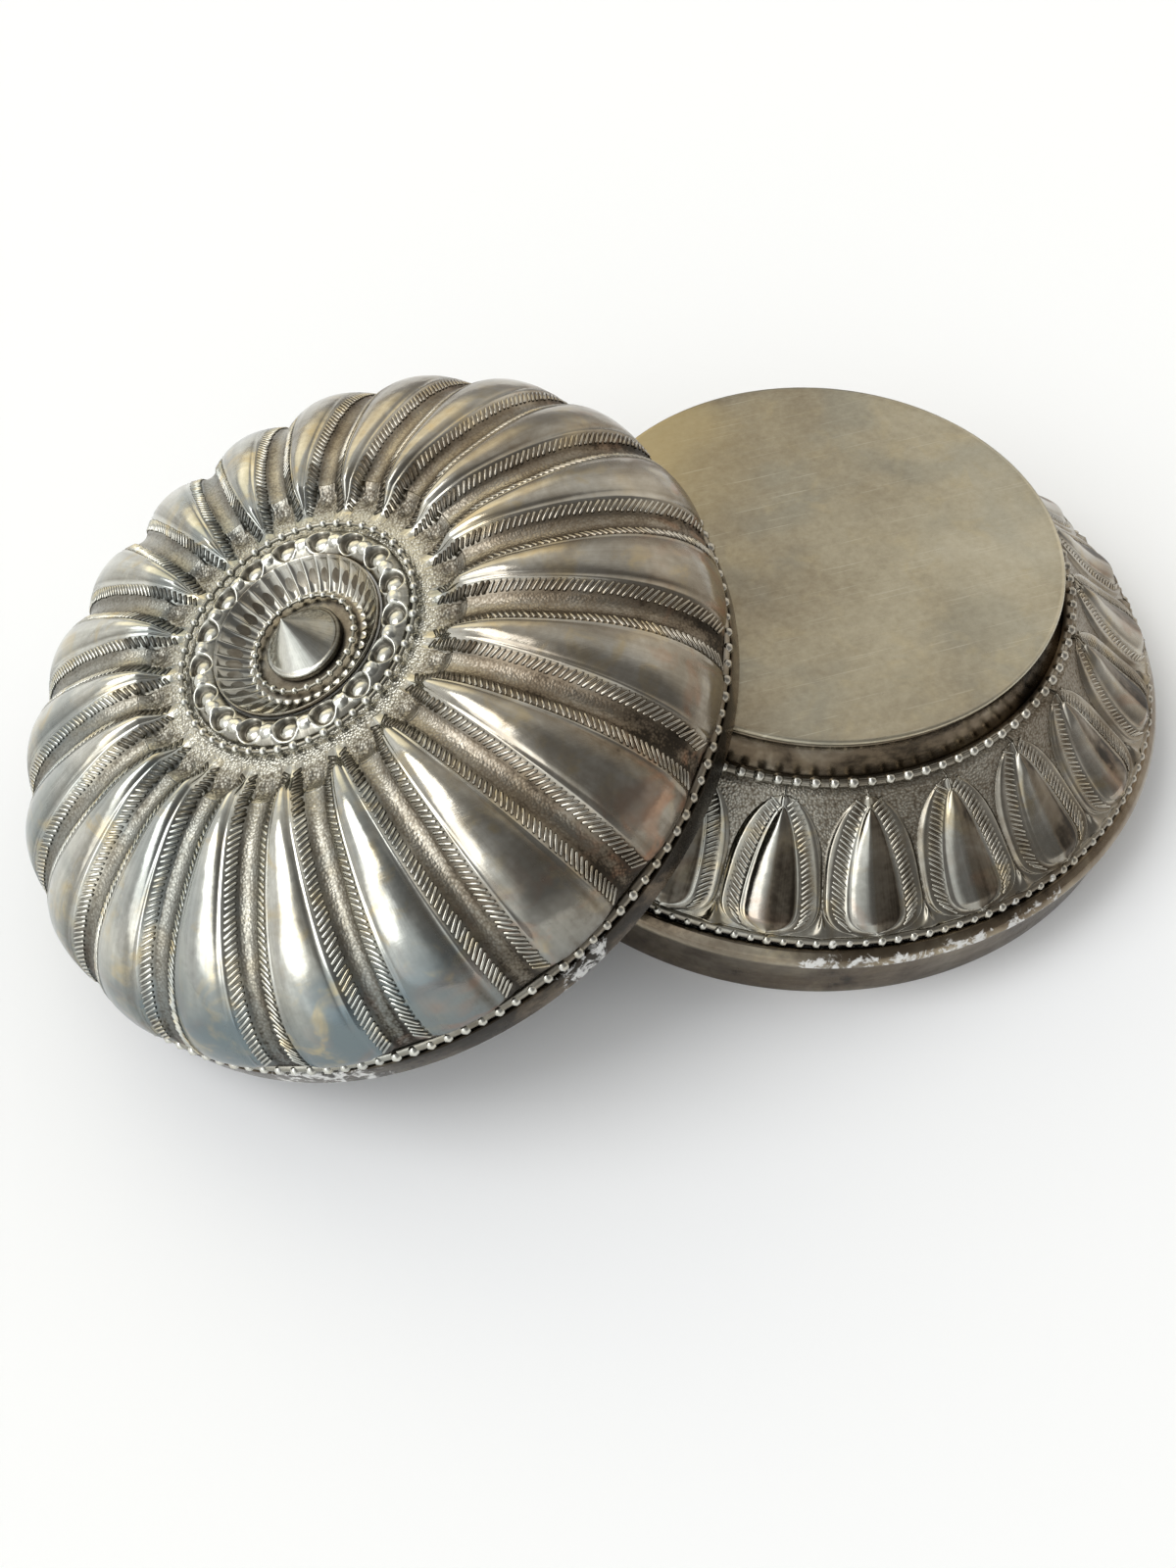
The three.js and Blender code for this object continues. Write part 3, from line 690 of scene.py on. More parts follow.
def lobe_segment():
    across = lobe_across
    s = lobe_rows[:, None] + 0 * across
    r, z = dome_point(s, lobe_depth(across, s))
    x, edge, border = np.abs(across), lobe_back(s), lobe_border(s)
    u = np.clip((x - border) / (1 - border), 0, 1)
    wall = (on_crest(s, CREST_R) - arch_radius(u)) / CHANNEL_WALL
    shelf = 1 - ease((z - SHELF_Z - 0.1) / 0.5) * ease((1 - s) / 0.03)
    shelf = shelf * (s > 0.9) * (x > border)
    in_strip = STRIP_DARK - 0.14 * ease((s - 0.75) / 0.2)
    tarnish = np.where(x < border, in_strip, CHANNEL_DARK + 0.2 * (1 - u) ** 1.5)
    matted = np.maximum(shelf, 0.5 * ease(u / 0.15) * (wall > 1.1))
    # The round end walls of the channels are painted darker: painted shade.
    tarnish = np.where((x > border) & (wall < 1.1), WALL_SHADE, tarnish)
    tarnish = np.where(x < edge + EDGE_LINE * 1.2, BACK_DARK, tarnish)
    # One flank of each lobe's back is painted darker: painted shade, partly tarnish.
    shaded_flank = 0.2 * ease((across / edge + 0.25) / 1.1) * ease(s / 0.15)
    tarnish = np.where(x < edge, BACK_DARK + 0.25 * (x / edge) ** 4 + shaded_flank, tarnish)
    tarnish += 0.25 * (1 - ease(s / 0.04))
    tarnish = mix(tarnish, GROUND_DARK + 0.22 * ease((r - 28) / 1.5), shelf)
    # Painted dark reflection towards the rim, partly tarnish.
    rim = 1 - ease(s / 0.45)

    w = np.linspace(0, 1, 7)[1:, None]
    ground_r = mix(r[-1], CUP_R + JOINT, w)
    ground_z = SHELF_Z + 0 * ground_r
    under_r = np.array([[CUP_R + JOINT], [TIP_R - 1.5]]) + 0 * r[:1]

    picks = np.linspace(len(lobe_rows) - 1, 0, INNER_ROWS).round().astype(int)
    inner_s, inner_across = s[picks], across[picks]
    inner_r, inner_z = dome_point(inner_s, SHEET + SOFTER * lobe_depth(inner_across, inner_s))

    hidden = np.zeros((2 + INNER_ROWS, across.shape[1]))
    all_r = np.vstack([r, ground_r, under_r, inner_r])
    all_z = np.vstack([z, ground_z, 0 * under_r + SHELF_Z - SHEET, inner_z])
    outer = np.vstack([across, np.repeat(across[-1:], len(ground_r) + 2, 0), inner_across])
    tags = {
        "tarnish": np.vstack([tarnish, 0 * ground_r + GROUND_DARK, hidden + 0.5]),
        "stipple": np.vstack([matted, 0 * ground_r + 1, hidden]),
        "rim_tarnish_and_reflection": np.vstack([rim, 0 * ground_r, hidden]),
    }
    angle = outer * math.pi / LOBES + math.radians(LOBE_PHASE)
    return grid_mesh("lid_lobes", spun(all_r, all_z, angle), tags)


lid_lobes = repeat(lobe_segment(), LOBES, CHASED)
settle(lid_lobes, "lid", ["lid_dome"], "chased_silver")

# %% [markdown]
# ## Bowl: one petal
#
# The bowl's petals are shorter: round towards the rim, pointed towards the foot, on a
# stippled ground. Each has a bulging drop in the middle with a soft keel, a border of
# strokes on both sides and a narrow smooth lip. Small darts stand between the round ends,
# next to the beads.

# %% Outlines of a petal
KEEL, DROP_LINE = -0.2, 0.045
DART_LENGTH, DART_WIDTH = 0.16, 0.16


def petal_outline(t):
    low = 1 - np.clip((0.4 - t) / 0.4, 0, 1) ** 5
    high = 1 - np.clip((t - 0.4) / 0.58, 0, 1) ** 2.5
    return 0.965 * low**0.5 * high**0.6 + 0.012


def petal_drop(t):
    low = 1 - np.clip((0.2 - t) / 0.17, 0, 1) ** 2.5
    high = 1 - np.clip((t - 0.2) / 0.70, 0, 1) ** 2
    return 0.51 * low**0.5 * high**0.7 + 0.004


def petal_border(t):
    return np.minimum(petal_drop(t) + 0.36, 0.91 * petal_outline(t))


def dart(x, t):
    """1 on the middle of the small dart between two petals, 0 outside it."""
    width = DART_WIDTH * np.clip(1 - t / DART_LENGTH, 0, 1) + 0.001
    return ease((x - 1 + width) / width) * ease((DART_LENGTH - t) / 0.03)


def petal_height(a, t):
    """Height above the ground at place a across the petal."""
    x = np.abs(a)
    outline, border, drop = petal_outline(t), petal_border(t), petal_drop(t)
    fade = 0.35 + 0.65 * ease((1 - t) / 0.28)
    lip_h, border_h, drop_h = 0.85 * fade, 0.95 * fade, PETAL_RELIEF * fade
    side = a / drop - KEEL
    off_keel = np.clip(np.where(side < 0, -side / (1 + KEEL), side / (1 - KEEL)), 0, 1)
    bulge = (1 - 0.42 * off_keel - 0.58 * off_keel**2.8) * ease((t - 0.02) / 0.09)
    rise = border_h + 0.1 + (drop_h - border_h - 0.1) * bulge
    in_border = np.clip((x - drop) / (border - drop), 0, 1)
    strip = mix(border_h - 0.05, lip_h - 0.25, in_border)
    on_lip = np.clip((x - border) / (outline - border), 0, 1)
    lip = lip_h * np.sqrt(np.clip(1 - on_lip**3, 0, 1))
    height = np.where(x < drop, rise, np.where(x < border, strip, np.where(x < outline, lip, 0.0)))
    line = np.exp(-(((x - drop - 0.02) / 0.018) ** 2)) * ease((t - 0.02) / 0.05)
    return height + 0.2 * line * (x < border) + 0.8 * dart(x, t) * (x > outline)


WALL_RUN = np.array([WALL_TOP_R - WALL_LOW_R, WALL_TOP_Z - WALL_LOW_Z])
WALL_NORMAL = np.array([WALL_RUN[1], -WALL_RUN[0]]) / np.hypot(*WALL_RUN)


def wall_point(t, out):
    """Radius and height at place t between the rim beads and the foot, pushed outwards."""
    push = out - HAIR - WALL_HOLLOW * 4 * t * (1 - t)
    r = mix(WALL_LOW_R, WALL_TOP_R, t) + WALL_NORMAL[0] * push
    return r, mix(WALL_LOW_Z, WALL_TOP_Z, t) + WALL_NORMAL[1] * push


# %% Petal segment
def petal_segment():
    rows = stacked_rows((0, 0.13, 17), (0.13, 0.85, 31), (0.85, 1, 15))
    drop, border, outline = petal_drop(rows), petal_border(rows), petal_outline(rows)
    marks = [0 * drop, drop, drop + 0.04, border, outline, outline + 0.02, 1 + 0 * drop]
    across = follow(marks, (7, 2, 3, 4, 1, 4))
    t = rows[:, None] + 0 * across
    r, z = wall_point(t, petal_height(across, t))
    x, drop, border, outline = np.abs(across), drop[:, None], border[:, None], outline[:, None]
    tarnish = np.where(x < border, 0.6, 0.34)
    tarnish = np.where(x < drop + DROP_LINE, 0.15, tarnish)
    # The half of each drop beyond the keel is painted darker: painted shade, partly tarnish.
    shaded_flank = ease((across / drop - KEEL + 0.06) / 0.22)
    tarnish = np.where(x < drop, 0.02 + 0.3 * (x / drop) ** 6 + 0.68 * shaded_flank, tarnish)
    ground = ease((x - outline) / 0.02)
    tarnish = mix(tarnish, 0.38, ground)
    on_dart = dart(x, t) * ground
    tarnish = mix(tarnish, 0.22, on_dart)
    stipple = ground * (1 - on_dart) * ease((t - 0.12) / 0.05)

    inner_t = np.linspace(0.95, 0.03, 8)[:, None] + 0 * across[-1]
    inner_height = 0.7 * petal_height(0 * inner_t + across[-1], inner_t) - SHEET
    inner_r, inner_z = wall_point(inner_t, inner_height)
    flat = 0 * across[-1]
    ends_r = np.array([FOOT_LOW_R - 4, 0.0, 0.0, FOOT_LOW_R - 2])[:, None] + flat
    ends_z = np.array([0, 0, -SHEET, -SHEET])[:, None] + WALL_TOP_Z + flat
    all_r, all_z = np.vstack([r, ends_r, inner_r]), np.vstack([z, ends_z, inner_z])
    rest = np.zeros((len(all_r) - len(r), len(flat)))
    angle = np.vstack([across, rest + across[-1]]) * math.pi / PETALS + math.radians(PETAL_PHASE)
    # Near the rim the drops carry a painted dark reflection, partly tarnish, less on the shaded
    # half.
    tags = {
        "tarnish": np.vstack([tarnish, rest + 0.55]),
        "stipple": np.vstack([stipple, rest]),
        "rim_tarnish_and_reflection": np.vstack([mix(0.6, 0.3, shaded_flank) * (1 - ease(t / 0.8)) * (x < drop), rest]),
    }
    return grid_mesh("bowl_petals", spun(all_r, all_z, angle), tags)


bowl_petals = repeat(petal_segment(), PETALS, CHASED)
settle(bowl_petals, "bowl", ["bowl_wall"], "chased_silver")

# %% [markdown]
# ## Chisel strokes
#
# The borders are filled with short slanting strokes. A stroke is a low round bar with
# pointed ends, between the two cuts of the chisel. A line of points is laid along the middle
# of each border of one petal. Every point carries the direction of the skin, the way across
# the border and the border's width. The tree resamples the line at the stroke spacing, sets
# a stroke at each point, and the repeating tree carries them round.

# %% One stroke
BAR = ((-0.5, -0.4, 0.65), (-0.27, 0.62, 0.18), (0, 1, 0), (0.27, 0.62, 0.18), (0.5, -0.4, 0.65))
BAR_END, TIP_HEIGHT, TIP_TARNISH = 0.38, 0.1, 0.5


def stroke_mesh():
    """A bar along X, one long, one wide and one high, darker towards its foot."""
    points = [(x, y, z) for x in (-BAR_END, BAR_END) for y, z, _ in BAR]
    points += [(-0.5, 0, TIP_HEIGHT), (0.5, 0, TIP_HEIGHT)]
    following = [(k, (k + 1) % 5) for k in range(5)]
    faces = [(a, b, b + 5, a + 5) for a, b in following]
    faces += [(b, a, 10) for a, b in following] + [(a + 5, b + 5, 11) for a, b in following]
    mesh = bpy.data.meshes.new("stroke")
    mesh.from_pydata(points, [], faces)
    paint(mesh, {"tarnish": [dark for _, _, dark in BAR] * 2 + [TIP_TARNISH] * 2})
    return new_piece("stroke", mesh)


stroke = stroke_mesh()


# %% Tree that lays strokes along a line
def named(tree, name, kind):
    node = add(tree, "GeometryNodeInputNamedAttribute", {"Name": name}, data_type=kind)
    return node.outputs[0]


def jitter(tree, low, high, seed):
    """A random number for each point, between low and high."""
    node = add(tree, "FunctionNodeRandomValue", {"Seed": seed}, data_type="FLOAT")
    numbers = [slot for slot in node.inputs if slot.type == "VALUE"]
    numbers[0].default_value, numbers[1].default_value = low, high
    return Flow(tree, [slot for slot in node.outputs if slot.type == "VALUE"][0])


kinds = {"Stroke": "Object", "Spacing": "Float", "Slant": "Float", "Thickness": "Float"}
kinds |= {"Height": "Float", "Seed": "Int", "Finish": "Material"}
tree, given, result = new_tree("strokes_along_border", kinds)
line = chain(tree, "GeometryNodeMeshToCurve", Mesh=given["Geometry"])
cut = {"Curve": line, "Length": given["Spacing"]}
spaced = add(tree, "GeometryNodeResampleCurve", cut, mode="LENGTH").outputs[0]
slant = Flow(tree, given["Slant"]) + jitter(tree, -0.09, 0.09, given["Seed"])
sideways = scaled(tree, named(tree, "away", "FLOAT_VECTOR"), slant.math("COSINE"))
forwards = scaled(tree, named(tree, "forward", "FLOAT_VECTOR"), slant.math("SINE"))
way = add(tree, "ShaderNodeVectorMath", {0: sideways, 1: forwards}, operation="ADD").outputs[0]
axes = {"Primary Axis": named(tree, "skin", "FLOAT_VECTOR"), "Secondary Axis": way}
facing = add(tree, "FunctionNodeAxesToRotation", axes, primary_axis="Z", secondary_axis="X")
room = Flow(tree, named(tree, "room", "FLOAT")).math("DIVIDE", slant.math("COSINE"))
thick = Flow(tree, given["Thickness"]) * jitter(tree, 0.88, 1.12, given["Seed"])
length = room * jitter(tree, 0.86, 1.0, given["Seed"])
shape = chain(tree, "ShaderNodeCombineXYZ", X=length, Y=thick, Z=given["Height"])
taken = add(tree, "GeometryNodeObjectInfo", {"Object": given["Stroke"]}).outputs["Geometry"]
strokes = set_on(tree, spaced, taken, Rotation=facing.outputs[0], Scale=shape)
end_tree(tree, strokes, given, result)
stroke_tree = tree


# %% Lines that the strokes follow
def unit(vectors):
    return vectors / np.linalg.norm(vectors, axis=1)[:, None]


def border_guides(name, place_at, rows, inner_edge, outer_edge):
    """A line of points along each border, with the directions that a stroke needs."""
    lines, edges = [], []
    tags = {"skin": [], "away": [], "forward": [], "room": []}
    for side in (-1, 1):
        middle = side * (inner_edge + outer_edge) / 2
        here = place_at(middle, rows)
        forward = unit(place_at(middle, rows + 0.004) - here)
        width = place_at(side * outer_edge, rows) - place_at(side * inner_edge, rows)
        away = unit(width)
        first = len(rows) * len(lines)
        edges += [(first + i, first + i + 1) for i in range(len(rows) - 1)]
        lines.append(here)
        skin = unit(np.cross(away, forward) * side)
        skin *= np.sign(skin[:, 2] + skin[:, 0] * here[:, 0] + skin[:, 1] * here[:, 1])[:, None]
        for key, value in (("skin", skin), ("away", away), ("forward", forward)):
            tags[key].append(value)
        tags["room"].append(np.linalg.norm(width, axis=1) * MM)
    mesh = bpy.data.meshes.new(name)
    mesh.from_pydata((np.vstack(lines) * MM).tolist(), edges, [])
    for key in ("skin", "away", "forward"):
        layer = mesh.attributes.new(key, "FLOAT_VECTOR", "POINT").data
        layer.foreach_set("vector", np.vstack(tags[key]).astype(np.float32).ravel())
    paint(mesh, {"room": np.concatenate(tags["room"])})
    return new_piece(name, mesh)


def lay_strokes(guides, spacing_mm, slant, thickness_mm, height_mm, copies):
    values = {
        "Stroke": stroke,
        "Spacing": spacing_mm * MM,
        "Slant": math.radians(slant),
        "Thickness": thickness_mm * MM,
        "Height": height_mm * MM,
        "Seed": 7,
        "Finish": CHASED,
    }
    piece = grow(guides, stroke_tree, values)
    return repeat(piece, copies, CHASED, unevenness=0.0, weld_mm=0.0)


def on_lobe(a, rows):
    r, z = dome_point(rows, lobe_depth(a, rows))
    return spun(r, z, a * math.pi / LOBES + math.radians(LOBE_PHASE))


def on_petal(a, rows):
    r, z = wall_point(rows, petal_height(a, rows))
    return spun(r, z, a * math.pi / PETALS + math.radians(PETAL_PHASE))


guide_rows = np.linspace(0.05, 0.985, 70)
inner_edge = lobe_back(guide_rows) + EDGE_LINE * 1.2
guides = border_guides(
    "lid_strokes", on_lobe, guide_rows, inner_edge, lobe_border(guide_rows) - 0.01
)
lid_strokes = lay_strokes(
    guides, spacing_mm=1.12, slant=36, thickness_mm=0.72, height_mm=0.27, copies=LOBES
)
settle(lid_strokes, "lid", [], "chased_silver")
guide_rows = np.linspace(0.085, 0.93, 40)
inner_edge = petal_drop(guide_rows) + DROP_LINE
guides = border_guides(
    "bowl_strokes", on_petal, guide_rows, inner_edge, petal_border(guide_rows) - 0.005
)
bowl_strokes = lay_strokes(
    guides, spacing_mm=1.0, slant=38, thickness_mm=0.64, height_mm=0.25, copies=PETALS
)
settle(bowl_strokes, "bowl", [], "chased_silver")
bpy.data.objects.remove(stroke)

# %% [markdown]
# ## Rows of beads
#
# Beaded wire borders every part: two rows on the bowl, three on the lid. The wire is a thin
# ring with a ball for each bead. A ball has few faces, because there are hundreds of them,
# and each one differs a little in size and place, as worn beads do. Their tops are polished
# and the notches between them are dark.

# %% Tree for beaded wire
BEAD_SHARE, WIRE_SHARE, BEAD_SHIFT = 0.97, 0.4, 0.03

kinds = {"Beads": "Int", "Ring radius": "Float", "Bead radius": "Float", "Wire radius": "Float"}
tree, given, result = new_tree("beaded_wire", kinds | {"Seed": "Int", "Finish": "Material"})
circle = chain(
    tree, "GeometryNodeMeshCircle", Vertices=given["Beads"], Radius=given["Ring radius"]
)
shift = add(tree, "FunctionNodeRandomValue", {"Seed": given["Seed"]}, data_type="FLOAT_VECTOR")
shift.inputs[0].default_value, shift.inputs[1].default_value = (-1, -1, -1), (1, 1, 1)
moved = scaled(tree, shift.outputs[0], BEAD_SHIFT * MM)
placed = chain(tree, "GeometryNodeSetPosition", Geometry=circle, Offset=moved)
ball = chain(
    tree, "GeometryNodeMeshUVSphere", Segments=8, Rings=6, Radius=given["Bead radius"]
)
balls = set_on(tree, placed, ball, Scale=jitter(tree, 0.84, 1.0, given["Seed"]))
path = chain(
    tree, "GeometryNodeCurvePrimitiveCircle", Resolution=240, Radius=given["Ring radius"]
)
section = chain(
    tree, "GeometryNodeCurvePrimitiveCircle", Resolution=6, Radius=given["Wire radius"]
)
wire = chain(tree, "GeometryNodeCurveToMesh", Curve=path, Profile_Curve=section)
both = add(tree, "GeometryNodeJoinGeometry")
put(tree, wire, both.inputs[0])
put(tree, balls, both.inputs[0])
end_tree(tree, both.outputs[0], given, result)
bead_tree = tree


def chalky(angle, places):
    """How much dried polish lies at an angle; places are (from, to) in degrees."""
    degrees = np.degrees(angle)
    found = 0 * degrees
    for low, high in places:
        found = np.maximum(found, ease((degrees - low) / 6) * ease((high - degrees) / 6))
    return found


LID_CHALK = ((-122, -96), (-78, -60))
BOWL_CHALK = ((-114, -64),)


def bead_row(part, beads, bead, r, z, facing, body, seed, chalk=()):
    """A row of beads. facing is the direction, as radius and height, that is rubbed bright."""
    name = part + "_beads"
    piece = new_piece(name, bpy.data.meshes.new(name))
    values = {
        "Beads": beads,
        "Ring radius": r * MM,
        "Bead radius": bead * BEAD_SHARE * MM,
        "Wire radius": bead * WIRE_SHARE * MM,
        "Seed": seed,
        "Finish": BEADED,
    }
    piece = grow(piece, bead_tree, values)
    points = np.zeros(len(piece.data.vertices) * 3, np.float32)
    piece.data.vertices.foreach_get("co", points)
    x, y, height = (points.reshape(-1, 3) / MM).T
    out, up = (np.hypot(x, y) - r) / bead, height / bead
    facing = np.array(facing) / np.hypot(*facing)
    tarnish = 0.5 - 0.55 * ease((out * facing[0] + up * facing[1] + 0.5) / 1.0)
    tarnish = np.maximum(tarnish, 0.6 * (1 - ease((np.hypot(out, up) - 0.35) / 0.3)))
    paint(piece.data, {"tarnish": tarnish, "residue": 0.85 * chalky(np.arctan2(y, x), chalk)})
    return settle(piece, body, [part + "_bead_wire"], "beaded_silver", lift=z)


UPWARDS, SLANTING, OUTWARDS = (0.0, 1.0), (0.8, 0.9), (1.0, 0.5)
bead_rows = (
    ("rim", RIM_BEADS, RIM_BEAD, RIM_BEAD_R, RIM_BEAD_Z, SLANTING, "bowl", 3, BOWL_CHALK),
    ("foot", FOOT_BEADS, FOOT_BEAD, FOOT_BEAD_R, FOOT_BEAD_Z, SLANTING, "bowl", 4),
    ("lid", LID_BEADS, LID_BEAD, LID_BEAD_R, LID_BEAD_Z, OUTWARDS, "lid", 5, LID_CHALK),
    ("medallion", MED_BEADS, MED_BEAD, MED_BEAD_R, MED_BEAD_Z, UPWARDS, "lid", 6),
    ("cone", CONE_BEADS, CONE_BEAD, CONE_BEAD_R, CONE_BEAD_Z, UPWARDS, "lid", 8),
)
for row in bead_rows:
    bead_row(*row)

# %% [markdown]
# ## Plain turned bands
#
# The collar, the ledge, the foot and the lid's band are plain sheet bent round. They are
# turned from a closed section. Each corner of a section is rounded with a small arc, because
# real edges are worn and catch a line of light. The foot's wall ends in a small cove behind
# its beads. A plain round bed of solder lies under each of the three long rows of beads, so
# that no black gap opens behind them.


# %% Turned pieces
def rounded(section, radius, steps=4):
    """Rounds the corners of a closed section given as (radius, height, tarnish)."""
    result = []
    section = [np.array(corner, float) for corner in section]
    for before, here, after in zip(section[-1:] + section, section, section[1:] + section[:1]):
        ends = []
        for other in (before, after):
            away = np.hypot(*(other - here)[:2])
            ends.append(here + (other - here) / away * min(radius, away / 2.2))
        for w in np.linspace(0, 1, steps + 1):
            result.append(ends[0] * (1 - w) ** 2 + 2 * here * w * (1 - w) + ends[1] * w**2)
    return np.array(result)


def subdivided(section, longest):
    """Adds points so that no step of a closed section is longer than asked."""
    result = []
    for here, after in zip(section, np.roll(section, -1, axis=0)):
        count = max(1, int(np.ceil(np.hypot(*(after - here)[:2]) / longest)))
        result += [mix(here, after, k / count) for k in range(count)]
    return np.array(result)


SHADE_SIDE_ANGLE = 0.6


def turned(
    name, section, body, node, slot="plain_silver", steps=288, chalk=(), uneven=0.0, painted_side_shade=0.0
):
    """Turns a section into a band or plate.

    uneven is the height of slow waves in a plate, and painted_side_shade paints shade on the
    piece's right side.
    """
    section = subdivided(np.array(section), 2.5)
    angle = np.linspace(-math.pi, math.pi, steps, endpoint=False)[None, :]
    r, z, tarnish = (section[:, i][:, None] + 0 * angle for i in range(3))
    wobble = np.sin(3 * angle + r / 9) + np.sin(5 * angle - r / 6 + 2) + np.sin(r / 5 + angle)
    z = z + uneven * wobble * (z > z.mean()) * ease((PLATE_R - r) / 6) * ease(r / 20)
    # Painted shade darkens one side of the piece.
    tags = {"tarnish": tarnish + painted_side_shade * ease(0.5 + 0.9 * np.cos(angle - SHADE_SIDE_ANGLE))}
    if chalk:
        near_edge = 0.6 + 0.4 * ease((r - r.max() + 1.2) / 0.6)
        tags["residue"] = chalky(angle + 0 * r, chalk) * near_edge
    if slot == "satin_silver":
        # The plate is painted lighter to the right and darker to the left: painted light and
        # shade. A painted golden reflection lies to the back left.
        side = r * np.cos(angle + 0.4) / PLATE_R
        tags["tarnish"] = tarnish + 0.38 - 0.2 * ease(side * 0.7 + 0.4)
        tags["gold_reflection"] = 0.75 * ease((-r * np.cos(angle + 0.6) / PLATE_R - 0.1) / 0.9)
    piece = grid_mesh(name, spun(r, z, angle + 0 * r), tags, around=True)
    return settle(piece, body, [node] if node else [], slot, FINISHES[slot])


inside = COLLAR_R - SHEET
collar = [(COLLAR_R, 0, 0.5), (COLLAR_R, COLLAR_H, 0.42)]
collar += [(inside, COLLAR_H, 0.7), (inside, 0, 0.5)]
turned("rim_collar_band", rounded(collar, 0.3), "bowl", "rim_collar")

inside = LEDGE_TOP_R - SHEET
ledge = [
    (LEDGE_R, LEDGE_Z, 0.5),
    (LEDGE_R, LEDGE_Z + 0.6, 0.1),
    (LEDGE_R - 0.63, LEDGE_Z + 1.92, 0.45),
    (LEDGE_TOP_R, LEDGE_TOP, 0.5),
    (inside, LEDGE_TOP, 0.9),
    (inside, LEDGE_Z, 0.9),
]
turned("rim_shoulder", rounded(ledge, 0.3), "bowl", "rim_ledge", chalk=BOWL_CHALK)

COVE = 0.8
foot_low, foot_top = WALL_TOP_Z + JOINT, PLATE_Z - JOINT
rise = np.linspace(0, 1, 14)
outside = mix(FOOT_LOW_R, FOOT_TOP_R, ease(rise)) - FOOT_WAIST * np.sin(math.pi * rise)
outside += COVE * (1 - ease(rise / 0.22))
foot = [
    (r, mix(foot_low, foot_top, k), 0.5 + 0.12 * math.sin(math.pi * k))
    for r, k in zip(outside, rise)
]
foot += [(r - SHEET, z, 0.9) for r, z, _ in reversed(foot)]
turned("foot_wall", foot, "bowl", "foot_ring")

plate = [(0, PLATE_Z, 0.6), (PLATE_R - 0.2, PLATE_Z, 0.5), (PLATE_R, PLATE_Z + 0.5, 0.1)]
plate += [(PLATE_R - 0.25, PLATE_TOP, 0.02), (PLATE_R - 0.9, PLATE_TOP - 0.02, 0.2)]
plate += [(PLATE_R - 2.2, PLATE_TOP - 0.1, 0.16), (0, PLATE_TOP - 0.12, 0.16)]
turned("foot_disc", plate, "bowl", "foot_plate", "satin_silver", uneven=0.03)

BED_POINTS, BED_DARK = 12, 0.5
beds = (
    ("rim_bead_bed", RIM_BEAD_R - 0.4, RIM_BEAD_Z + 0.2, 0.9, "bowl"),
    ("foot_bead_bed", FOOT_BEAD_R - 0.4, FOOT_BEAD_Z - 0.5, 1.0, "bowl"),
    ("lid_bead_bed", LID_BEAD_R - 0.5, LID_BEAD_Z + 0.1, 1.0, "lid"),
)
for name, r, z, thick, body in beds:
    round_it = np.arange(BED_POINTS) * math.tau / BED_POINTS
    bed = [(r + thick * math.cos(a), z + thick * math.sin(a), BED_DARK) for a in round_it]
    turned(name, bed, body, None, "beaded_silver")

inside = BAND_R - SHEET
band = [(BAND_R - 0.02, 0.02, 0.6), (BAND_R - 0.02, BAND_H, 0.8)]
band += [(inside, BAND_H, 0.7), (inside, 0.02, 0.5)]
turned("lid_rim_band", rounded(band, 0.3), "lid", "lid_band", chalk=LID_CHALK)

# %% [markdown]
# ## Medallion
#
# The middle of the lid is a small landscape: a raised ring with seventeen round wells, a
# low button in each and a knob between each two, a cup with thirty-six sharp flutes, and a
# polished cone on a step.
# Wells and flutes are drawn once, as one segment of the ring, and repeated with the same
# tree as the petals.

# %% Ring of wells
WELL_R, WELL_MIDDLE, WELL_DEPTH, KNOB_R, KNOB_HEIGHT = 2.6, 20.75, 1.3, 1.5, 0.7
BUTTON_R, BUTTON_HEIGHT = 1.75, 0.55


def well_segment():
    columns = np.linspace(-1, 1, 35)
    r = np.linspace(RING_OUT, RING_IN, 27)[:, None] + 0 * columns
    sideways = np.abs(columns) * math.pi / WELLS * WELL_MIDDLE
    crown = 1 - 0.75 * np.abs((r - WELL_MIDDLE) / (RING_OUT - RING_IN) * 2) ** 2.6
    away = np.hypot(sideways, r - WELL_MIDDLE)
    well = 1 - ease((away / WELL_R - 0.6) / 0.36)
    lip = np.exp(-(((away / WELL_R - 1.04) / 0.1) ** 2))
    aside = np.hypot(math.pi / WELLS * WELL_MIDDLE - sideways, r - WELL_MIDDLE)
    knob = np.sqrt(np.clip(1 - (aside / KNOB_R) ** 2, 0, 1))
    low = SHELF_Z + JOINT
    z = low + RING_H * 0.66 * crown - WELL_DEPTH * well + 0.2 * lip + KNOB_HEIGHT * knob
    button = np.sqrt(np.clip(1 - (away / BUTTON_R) ** 2, 0, 1))
    z = z + BUTTON_HEIGHT * button
    tarnish = 0.46 + 0.4 * well * (button < 0.5) - 0.3 * button - 0.4 * lip * (1 - well)
    tarnish = tarnish - 0.4 * knob**0.5 + 0.2 * (1 - crown)
    base_r = np.array([[RING_IN], [RING_OUT]]) + 0 * columns
    all_r, all_z = np.vstack([r, base_r]), np.vstack([z, low + 0 * base_r])
    angle = columns * math.pi / WELLS + math.radians(WELL_PHASE) + 0 * all_r
    tags = {"tarnish": np.vstack([tarnish, 0.9 + 0 * base_r])}
    return grid_mesh("medallion_wells", spun(all_r, all_z, angle), tags)


wells = repeat(well_segment(), WELLS, POLISHED, unevenness=0.1, lump_mm=4)
settle(wells, "lid", ["medallion_ring"], "polished_silver")


# %% Fluted cup
CUP_BEND_R, CUP_BEND_Z, FLUTE_HOLLOW, FLUTE_CREST = 14.5, 30.6, 0.5, 0.2


